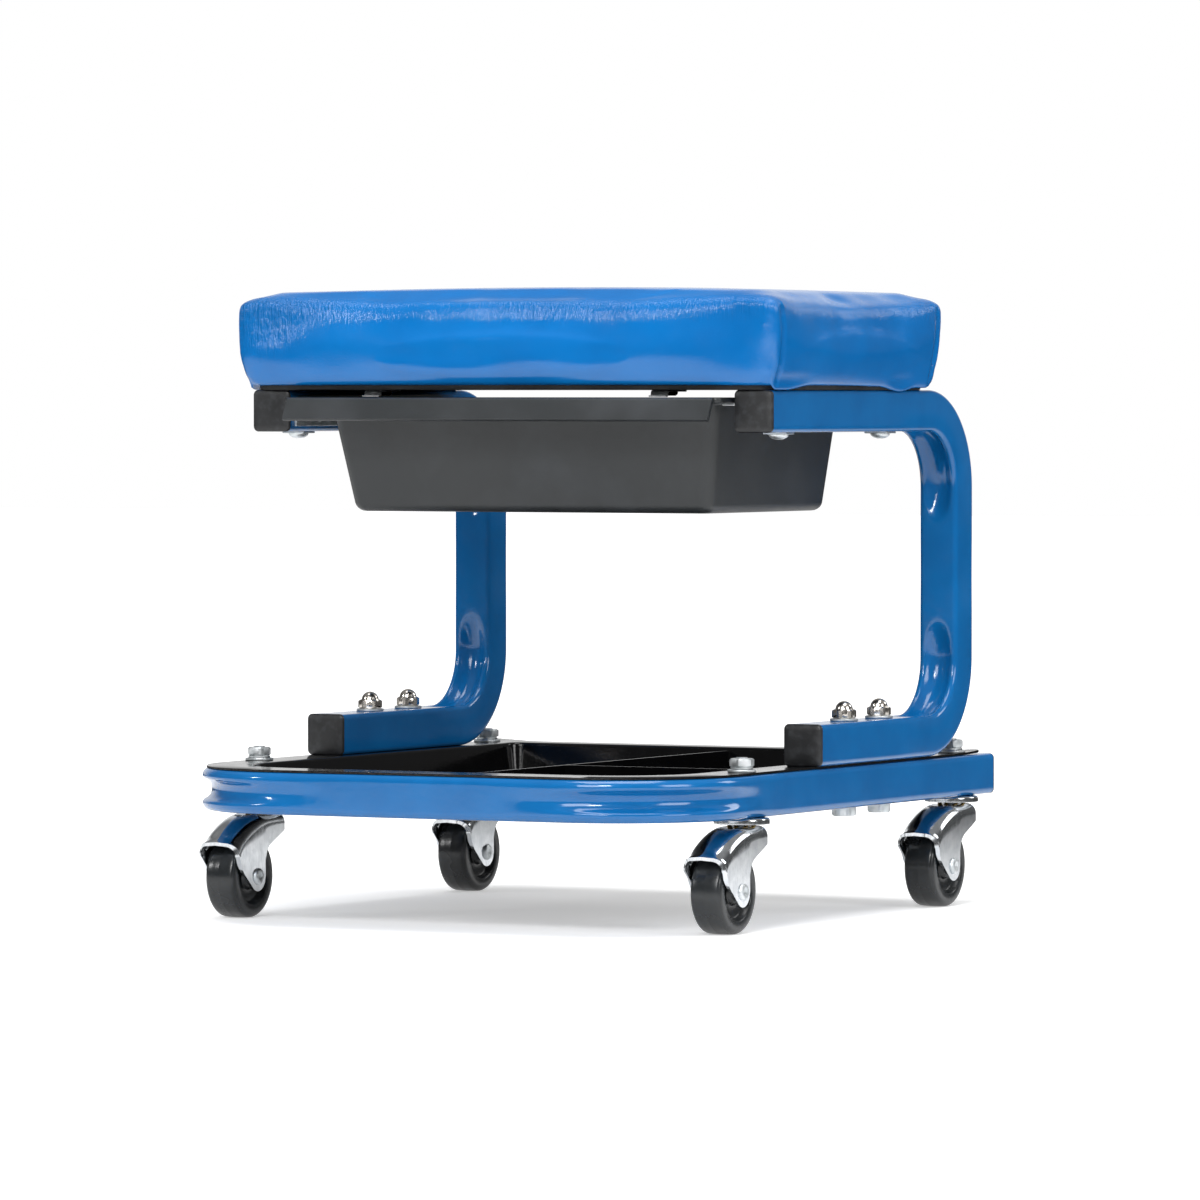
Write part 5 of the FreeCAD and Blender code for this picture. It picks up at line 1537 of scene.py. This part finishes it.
@dataclass
class CoverFolds:
    """The folds and creases of the seat's swollen cover, worked out from where its points lie.

    A point's push is how far a fold moves it outward.  rel runs from -1 to 1 across the cover, and up
    from 0 at its lowest to 1 at its highest point.
    """

    points: Array
    pleat: float = 2.2
    tuck: float = 3.2
    droop: float = 2.0
    cloth_edge: float = 175.2

    def __post_init__(self) -> None:
        """Measures the cover and how near each point is to its front and its sides."""
        self.low, self.high = self.points.min(0), self.points.max(0)
        self.middle, self.half = (self.low + self.high) / 2, (self.high - self.low) / 2
        self.rel = (self.points - self.middle) / self.half
        self.up = (self.points[:, 2] - self.low[2]) / (self.high[2] - self.low[2])
        self.front = np.exp(-((self.rel[:, 1] + 1) / 0.08) ** 2)
        self.flank = np.exp(-((np.abs(self.rel[:, 0]) - 1) / 0.05) ** 2)

    def pleats(self) -> Array:
        """The push of a narrow groove down each vertical corner with a low ridge beside it.

        Returns:
            A value for each point.
        """
        push, up = np.zeros(len(self.points)), self.up
        side = ease(up, 0.0, 0.1) * (1 - ease(up, 0.72, 0.92))
        line = 8.5 + 3.5 * (1 - up) + 1.2 * np.sin(4 * up)
        for x_sign in (-1, 1):
            for y_sign in (-1, 1):
                along = y_sign * (self.middle[1] + self.half[1] * y_sign - self.points[:, 1])
                on_side = ease(self.rel[:, 0] * x_sign, 0.9, 0.95) * side
                push -= self.pleat * np.exp(-((along - line) / 1.9) ** 2) * on_side
                push += 0.5 * self.pleat * np.exp(-((along - line + 4.5) / 3.0) ** 2) * on_side
        return push

    def waves(self) -> Array:
        """The push of pulled folds on the upper front edge and the sides, and of slack low on the front.

        Returns:
            A value for each point.
        """
        x, y, up = self.points[:, 0], self.points[:, 1], self.up
        pulled = np.sin(x / 11 + 1.3 * np.sin(x / 29)) * np.sin(x / 47 + 0.6)
        push = 0.4 * pulled * self.front * ease(up, 0.55, 0.9) * (1 - ease(up, 0.92, 1.0))
        side = self.flank * (1 - ease(np.abs(self.rel[:, 1]), 0.8, 0.95))
        side *= ease(up, 0.12, 0.4) * (1 - ease(up, 0.75, 0.95))
        push += 0.35 * np.sin(y / 13 + 1.2 * np.sin(y / 27)) * side
        slack = np.sin(x / 34 + 0.9) * 1.1 + np.sin(x / 17 + 0.8 * np.sin(x / 53)) * 0.6
        return push + slack * self.front * np.exp(-((up - 0.3) / 0.17) ** 2)

    def tucks(self) -> tuple[Array, Array]:
        """The tucked folds at the hem of both sides.

        Returns:
            The push of the groove above them, and how far the hem hangs.
        """
        back, fore = self.points[:, 1] - self.low[1], self.high[1] - self.points[:, 1]
        folds = ease(back, 2, 12) * (1 - ease(back, 24, 64))
        folds = folds + 0.8 * ease(fore, 28, 50) * (1 - ease(fore, 52, 80))
        hang = self.tuck * folds + self.droop * (1 - ease(fore, 0, 1.4 * self.half[1]))
        beside = ease(np.abs(self.points[:, 0]), self.cloth_edge, self.cloth_edge + 1.2)
        groove = 1.5 * folds * np.exp(-((self.up - 0.07) / 0.035) ** 2)
        return (-groove * ease(np.abs(self.rel[:, 0]), 0.9, 0.95),
                hang * beside * (1 - ease(self.up, 0, 0.14)))

    def folded(self) -> Array:
        """Presses every fold in: outward on the sides and down at the hem.

        Returns:
            The cover's points after that.
        """
        out = np.sign(self.rel) * (np.abs(self.rel) > 0.9) * [1, 1, 0]
        out /= np.maximum(np.linalg.norm(out, axis=1, keepdims=True), 1)
        groove, hang = self.tucks()
        moved = self.points + out * (self.pleats() + self.waves() + groove)[:, None]
        moved[:, 2] -= hang
        return moved

    def creases(self) -> Array:
        """How creased the vinyl is: in patches along the upper edge and in a fan at the front left corner.

        Returns:
            A value for each point.
        """
        x, up = self.points[:, 0], self.up
        edge = np.exp(-((up - 0.82) / 0.13) ** 2) * np.maximum(self.front, self.flank)
        patches = 0.35 + 0.65 * (0.5 + 0.5 * np.sin(x / 33 + 0.4)) * (0.5 + 0.5 * np.sin(x / 87 + 2.1))
        fan = np.exp(-(((x - self.low[0] - 22) / 17) ** 2 + ((up - 0.62) / 0.25) ** 2)) * self.front
        return np.clip(edge * patches * 1.2 + fan, 0, 1)


@dataclass
class Seat:
    """The padded seat: a vinyl cover swollen over foam, its tucked corners, dust cover and board."""

    corner: float = 9.0
    flare: tuple[float, float] = (6.0, 4.0)
    edge: float = 4.5
    hem: float = 2.2
    draw: float = 2.5
    crown: float = 1.5
    swell: float = 2.5
    rise: float = 7.5
    arch: float = 3.0
    ears: float = 2.8
    outer: tuple[float, float] = (183.5, 114.7)
    foot_zone: float = 330.0
    spare: float = 1.2
    voxel: float = 4.0
    pressure: float = 4.0
    cap: float = 5.0
    evening: int = 12
    frames: int = 20
    stretch_stiffness: float = 60.0
    bend_stiffness: float = 12.0
    cloth_corner: float = 14.0
    cloth_turn_up: float = 4.0

    def level(self, half: Array, middle: Array, z: float, draw: float, corner: float) -> Array:
        """One level of the cushion: a rounded outline whose sides bow in between the corners.

        Args:
            half: half the width and half the depth.
            middle: the cushion's middle in X and Y.
            z: the level's height.
            draw: how far the middle of each side is drawn in.
            corner: the corner radius.

        Returns:
            The level's ring of points.
        """
        outline = rounded_outline(tuple(-half), tuple(half), corner, None, 10, 44)
        share = outline / half
        bow = draw * (1 - np.clip(share[:, ::-1] ** 2, 0, 1))
        drawn = outline - np.sign(outline) * bow * (np.abs(share) > 0.8)
        reach = np.abs(outline / np.array(self.outer))
        shape = self.ears * reach.prod(1) ** 6 - self.arch * reach[:, 0] ** 2
        return at_height(drawn + middle, z + shape * ease(z, self.foot_zone, self.foot_zone + 40))

    def form(self) -> Array:
        """The block before it swells, as rings from the middle of its base to the middle of its top.

        The sides flare upward, the lower and upper edges are rolled and the top rises to a crown.

        Returns:
            Rings by points by 3.
        """
        low, high = in_mm(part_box("seat_cushion"))
        middle = (low + high)[:2] / 2
        flare = np.array(self.flare)
        foot = (high - low)[:2] / 2 - flare + self.spare
        base, rim = low[2] + 0.1, high[2] - self.crown - self.rise
        rings = [self.level(foot - inset, middle, base, 0, self.corner) for inset in (80, 50, 25, self.hem)]
        for share in np.linspace(0.15, 1, 6):
            a = share * math.pi / 2
            rings.append(self.level(foot - self.hem * (1 - math.sin(a)), middle,
                                    base + self.hem * (1 - math.cos(a)), self.draw * share / 4, self.corner))
        side_top = rim - self.edge
        for share in np.linspace(0.1, 1, 9):
            waist = self.draw * (0.25 + 0.75 * math.sin(math.pi / 2 * share))
            waist += self.swell * math.sin(math.pi * share)
            height = base + self.hem + (side_top - base - self.hem) * share
            half = foot + flare * (1 - (1 - share) ** 1.7)
            rings.append(self.level(half, middle, height, waist, self.corner))
        for share in np.linspace(0.15, 1, 6):
            a = share * math.pi / 2
            rings.append(self.level(foot + flare - self.edge * (1 - math.cos(a)), middle,
                                    side_top + self.edge * math.sin(a), self.draw, self.corner))
        for inset in (14, 24, 36, 50, 66, 82, 96):
            rise = self.crown * (1 - (1 - inset / 114) ** 2)
            rings.append(self.level(foot + flare - inset, middle, rim + rise, self.draw * 0.4, self.corner))
        return np.stack(rings)

    def inflate(self, cover: bpy.types.Object) -> None:
        """Swells the cover with Blender's cloth under pressure and keeps the result in its mesh.

        No point moves further than the cap, and the base, which rests on the board, stays flat.

        Args:
            cover: the closed cover mesh.
        """
        scene = bpy.context.scene
        mesh = cover.data
        before = places_of(mesh)
        pinned = cover.vertex_groups.new(name="on_board")
        base = before[:, 2].min() + 3 * MM
        pinned.add(np.flatnonzero(before[:, 2] < base).tolist(), 1.0, "REPLACE")
        cloth = cover.modifiers.new("stuffing", "CLOTH")
        cloth.settings.use_pressure = True
        cloth.settings.uniform_pressure_force = self.pressure
        cloth.settings.effector_weights.gravity = 0
        cloth.settings.vertex_group_mass = "on_board"
        cloth.settings.tension_stiffness = self.stretch_stiffness
        cloth.settings.compression_stiffness = self.stretch_stiffness
        cloth.settings.bending_stiffness = self.bend_stiffness
        for step in range(1, self.frames + 1):
            scene.frame_set(step)
        depsgraph = bpy.context.evaluated_depsgraph_get()
        move = self.evened(mesh, places_of(cover.evaluated_get(depsgraph).data) - before)
        reach = np.linalg.norm(move, axis=1, keepdims=True)
        move *= np.minimum(1, self.cap * MM / np.maximum(reach, 1e-9))
        cover.modifiers.remove(cloth)
        cover.vertex_groups.clear()
        scene.frame_set(1)
        mesh.vertices.foreach_set("co", (before + move).ravel())
        LOG.info("cover swells by up to %.1f mm", np.linalg.norm(move, axis=1).max() / MM)

    def evened(self, mesh: bpy.types.Mesh, move: Array) -> Array:
        """Takes the small ripples out of a movement: each pass gives a point half its neighbours' mean.

        Args:
            mesh: the cover's mesh.
            move: how far each vertex moved.

        Returns:
            The smoother movement.
        """
        ends = np.empty(len(mesh.edges) * 2, int)
        mesh.edges.foreach_get("vertices", ends)
        first, second = ends.reshape(-1, 2).T
        degree = np.bincount(ends, minlength=len(move))[:, None]
        for _ in range(self.evening):
            total = np.zeros_like(move)
            np.add.at(total, first, move[second])
            np.add.at(total, second, move[first])
            move = (move + total / degree) / 2
        return move

    def build(self) -> None:
        """Makes the cover, then its corner folds, the dust cover and the finish of what is inside."""
        shell = Shell().capped(self.form())
        cover = shell.build("vinyl_cover", VINYL, "seat_cushion", sharp=80)
        remesh = cover.modifiers.new("even_mesh", "REMESH")
        remesh.mode = "VOXEL"
        remesh.voxel_size = self.voxel * MM
        remesh.use_smooth_shade = True
        self.apply(cover)
        self.inflate(cover)
        smoothing = cover.modifiers.new("smoothing", "SUBSURF")
        smoothing.levels = smoothing.render_levels = 1
        self.apply(cover)
        self.wrinkle(cover)
        coat(cover.data, VINYL)
        self.dust_cover()
        for node, finish in (("seat_board", PLYWOOD), ("seat_tee_nuts", ZINC), ("rail_rivets", ZINC)):
            coat(frame["nodes"][node].data, finish)

    @staticmethod
    def apply(piece: bpy.types.Object) -> None:
        """Bakes a piece's modifiers into its mesh.

        Args:
            piece: the object whose modifiers are live.
        """
        depsgraph = bpy.context.evaluated_depsgraph_get()
        baked = bpy.data.meshes.new_from_object(piece.evaluated_get(depsgraph))
        piece.modifiers.clear()
        piece.data = baked
        baked.polygons.foreach_set("use_smooth", np.ones(len(baked.polygons), bool))

    def wrinkle(self, cover: bpy.types.Object) -> None:
        """Presses the folds into the cover and marks where it creases.

        Args:
            cover: the swollen cover.
        """
        mesh = cover.data
        folds = CoverFolds(places_of(mesh) / MM)
        mesh.vertices.foreach_set("co", (folds.folded() * MM).ravel())
        attribute = mesh.attributes.new("crease", "FLOAT", "POINT")
        attribute.data.foreach_set("value", folds.creases().astype(np.float32))
        mesh.update()

    def dust_cover(self) -> None:
        """Makes the black cloth under the board, whose turned-up edge shows below the cushion."""
        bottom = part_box("seat_dust_cover")[0][2] / MM + 0.2
        board_low, board_high = in_mm(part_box("seat_board"))
        middle, half = (board_low + board_high)[:2] / 2, (board_high - board_low)[:2] / 2

        def ring(inset: float, z: float) -> Array:
            """One ring of the cloth, a little uneven.

            Args:
                inset: how far it lies inside the board's edge.
                z: its height.

            Returns:
                The ring's points.
            """
            outline = rounded_outline(tuple(-half + inset), tuple(half - inset), self.cloth_corner,
                                      None, 12, 40)
            ripple = 0.08 * np.sin(outline[:, 0] / 9) * np.cos(outline[:, 1] / 12)
            return at_height(outline + middle, z + ripple * (inset > -0.5))

        turned_up = board_low[2] + self.cloth_turn_up
        rows = [ring(60, bottom + 0.3), ring(-0.3, bottom + 0.3), ring(-0.3, turned_up),
                ring(-1.0, turned_up), ring(-1.0, bottom + 0.2), ring(-0.3, bottom - 0.2),
                ring(60, bottom - 0.2)]
        Shell().capped(np.stack(rows)).build("dust_cloth", FELT, "seat_dust_cover", sharp=60)


@dataclass
class Studio:
    """The pale floor, soft lamps, world and camera of the picture."""

    camera_place: Place = (2.2627, -4.2868, 0.3167)
    camera_turn: Place = (88.5, 0.0, 27.7)
    lens: float = 240.0
    floor_reach: float = 14.0
    room: float = 0.1
    backdrop: float = 0.9
    ceiling: float = 0.3
    backdrop_way: Place = (-0.465, 0.885, 0.0)
    sweep_middle: Place = (-0.35, -0.7, 0.0)
    sweep: tuple[float, float] = (1.0, 2.2)
    mirrored: float = 0.35
    albedo: float = 0.88
    lost_albedo: float = 0.02
    shadow_zone: tuple[float, float] = (0.45, 1.5)
    shadow_glow: float = 0.42
    backdrop_edge: tuple[float, float] = (0.75, 0.95)
    ceiling_edge: tuple[float, float] = (0.25, 0.8)

    def build(self) -> None:
        """Makes the floor, the world, the lamps and the camera."""
        self.floor()
        self.world()
        self.lamp("overhead_softbox", (0.2, -0.3, 2.6), (0, 0, 0.2), 1.8, 56)
        self.lamp("front_softbox", (0.3, -3.3, 1.7), (0, 0, 0.25), 1.4, 50)
        self.lamp("right_softbox", (3.0, -0.8, 1.3), (0, 0, 0.25), 1.2, 30)
        self.lamp("key_lamp", (0.9, -2.6, 1.7), (0, 0, 0.25), 0.4, 20)
        self.lamp("rear_softbox", (2.3, 2.7, 2.0), (0, 0, 0.25), 1.2, 22)
        self.lamp("left_lamp", (-2.5, -2.3, 1.4), (0, 0, 0.25), 0.4, 16)
        data = bpy.data.cameras.new("photo_camera")
        data.lens, data.sensor_width = self.lens, 36.0
        data.clip_end = 100.0
        camera = bpy.data.objects.new("photo_camera", data)
        camera.location = self.camera_place
        camera.rotation_euler = tuple(math.radians(angle) for angle in self.camera_turn)
        bpy.context.scene.collection.objects.link(camera)
        bpy.context.scene.camera = camera
        bpy.context.scene.view_settings.view_transform = "Standard"

    def floor(self) -> None:
        """A white sweep that keeps the seat's shadow.

        To the camera it is white all over, and in reflections only near the seat.
        """
        mesh = bpy.data.meshes.new("studio_floor")
        r = self.floor_reach
        mesh.from_pydata([(-r, -r, 0), (r, -r, 0), (r, r, 0), (-r, r, 0)], [], [(0, 1, 2, 3)])
        floor = bpy.data.objects.new("studio_floor", mesh)
        bpy.context.scene.collection.objects.link(floor)
        paint = bpy.data.materials.new("white_sweep")
        paint.use_nodes = True
        tree = paint.node_tree
        shader = tree.nodes["Principled BSDF"]
        shader.inputs["Roughness"].default_value = 0.9
        shader.inputs["Emission Color"].default_value = (1, 1, 1, 1)
        place = add_node(tree, "ShaderNodeTexCoord")
        reach = add_node(tree, "ShaderNodeVectorMath", {0: place.outputs["Object"]}, operation="LENGTH")
        far = add_node(tree, "ShaderNodeMapRange", {
            "Value": reach.outputs["Value"], "From Min": self.shadow_zone[0], "From Max": self.shadow_zone[1],
            "To Min": self.shadow_glow, "To Max": 1.0}, interpolation_type="SMOOTHSTEP")
        off = add_node(tree, "ShaderNodeVectorMath", {0: place.outputs["Object"], 1: self.sweep_middle},
                       operation="DISTANCE")
        gone = add_node(tree, "ShaderNodeMapRange", {
            "Value": off.outputs["Value"], "From Min": self.sweep[0], "From Max": self.sweep[1]},
            interpolation_type="SMOOTHSTEP")
        rays = add_node(tree, "ShaderNodeLightPath")
        glossy = rays.outputs["Is Glossy Ray"]
        seen = add_node(tree, "ShaderNodeMath", {
            0: rays.outputs["Is Camera Ray"], 1: rays.outputs["Is Transmission Ray"]}, operation="MAXIMUM")
        shown = add_node(tree, "ShaderNodeMath", {0: seen.outputs[0], 1: far.outputs["Result"]},
                         operation="MULTIPLY")
        lost = add_node(tree, "ShaderNodeMath", {0: glossy, 1: gone.outputs["Result"]}, operation="MULTIPLY")
        kept = add_node(tree, "ShaderNodeMath", {0: glossy, 1: lost.outputs[0]}, operation="SUBTRACT")
        white = add_node(tree, "ShaderNodeMath", {
            0: lost.outputs[0], 1: self.lost_albedo - self.albedo, 2: self.albedo}, operation="MULTIPLY_ADD")
        glow = add_node(tree, "ShaderNodeMath", {0: kept.outputs[0], 1: self.mirrored, 2: shown.outputs[0]},
                        operation="MULTIPLY_ADD")
        tree.links.new(white.outputs[0], shader.inputs["Base Color"])
        tree.links.new(glow.outputs[0], shader.inputs["Emission Strength"])
        mesh.materials.append(paint)

    def world(self) -> None:
        """A dim room with a bright backdrop behind the seat and a paler ceiling; white to the camera."""
        world = bpy.data.worlds.new("studio")
        bpy.context.scene.world = world
        world.use_nodes = True
        tree = world.node_tree
        place = add_node(tree, "ShaderNodeTexCoord")
        behind = add_node(tree, "ShaderNodeVectorMath", {
            0: place.outputs["Generated"], 1: self.backdrop_way}, operation="DOT_PRODUCT")
        backdrop = add_node(tree, "ShaderNodeMapRange", {
            "Value": behind.outputs["Value"], "From Min": self.backdrop_edge[0],
            "From Max": self.backdrop_edge[1], "To Min": self.room, "To Max": self.backdrop},
            interpolation_type="SMOOTHSTEP")
        parts = add_node(tree, "ShaderNodeSeparateXYZ", {"Vector": place.outputs["Generated"]})
        ceiling = add_node(tree, "ShaderNodeMapRange", {
            "Value": parts.outputs["Z"], "From Min": self.ceiling_edge[0], "From Max": self.ceiling_edge[1],
            "To Min": 0.0, "To Max": self.ceiling}, interpolation_type="SMOOTHSTEP")
        room = add_node(tree, "ShaderNodeMath", {0: backdrop.outputs["Result"], 1: ceiling.outputs["Result"]},
                        operation="MAXIMUM")
        rays = add_node(tree, "ShaderNodeLightPath")
        level = add_node(tree, "ShaderNodeMath", {0: room.outputs[0], 1: rays.outputs["Is Camera Ray"]},
                         operation="MAXIMUM")
        tree.links.new(level.outputs[0], tree.nodes["Background"].inputs["Strength"])
        tree.nodes["Background"].inputs["Color"].default_value = (1, 1, 1, 1)

    def lamp(self, name: str, place: Place, target: Place, size: float, power: float) -> None:
        """Hangs one square softbox.

        Args:
            name: the lamp's name.
            place: where it hangs, in metres.
            target: the point that it faces.
            size: its side in metres.
            power: its power in watts.
        """
        data = bpy.data.lights.new(name, "AREA")
        data.size, data.energy = size, power
        lamp = bpy.data.objects.new(name, data)
        lamp.location = place
        aim = np.array(target) - np.array(place)
        flat = math.hypot(aim[0], aim[1])
        lamp.rotation_euler = (math.atan2(flat, -aim[2]), 0, math.atan2(-aim[0], aim[1]))
        bpy.context.scene.collection.objects.link(lamp)


def main() -> None:
    """Builds every sub-assembly in order."""
    logging.basicConfig(level=logging.INFO, format="%(message)s")
    for assembly in (Studio, SideTubes, BaseFrame, ToolTray, DrawerBin, Casters, Fasteners, Seat):
        assembly().build()


if __name__ == "__main__":
    main()
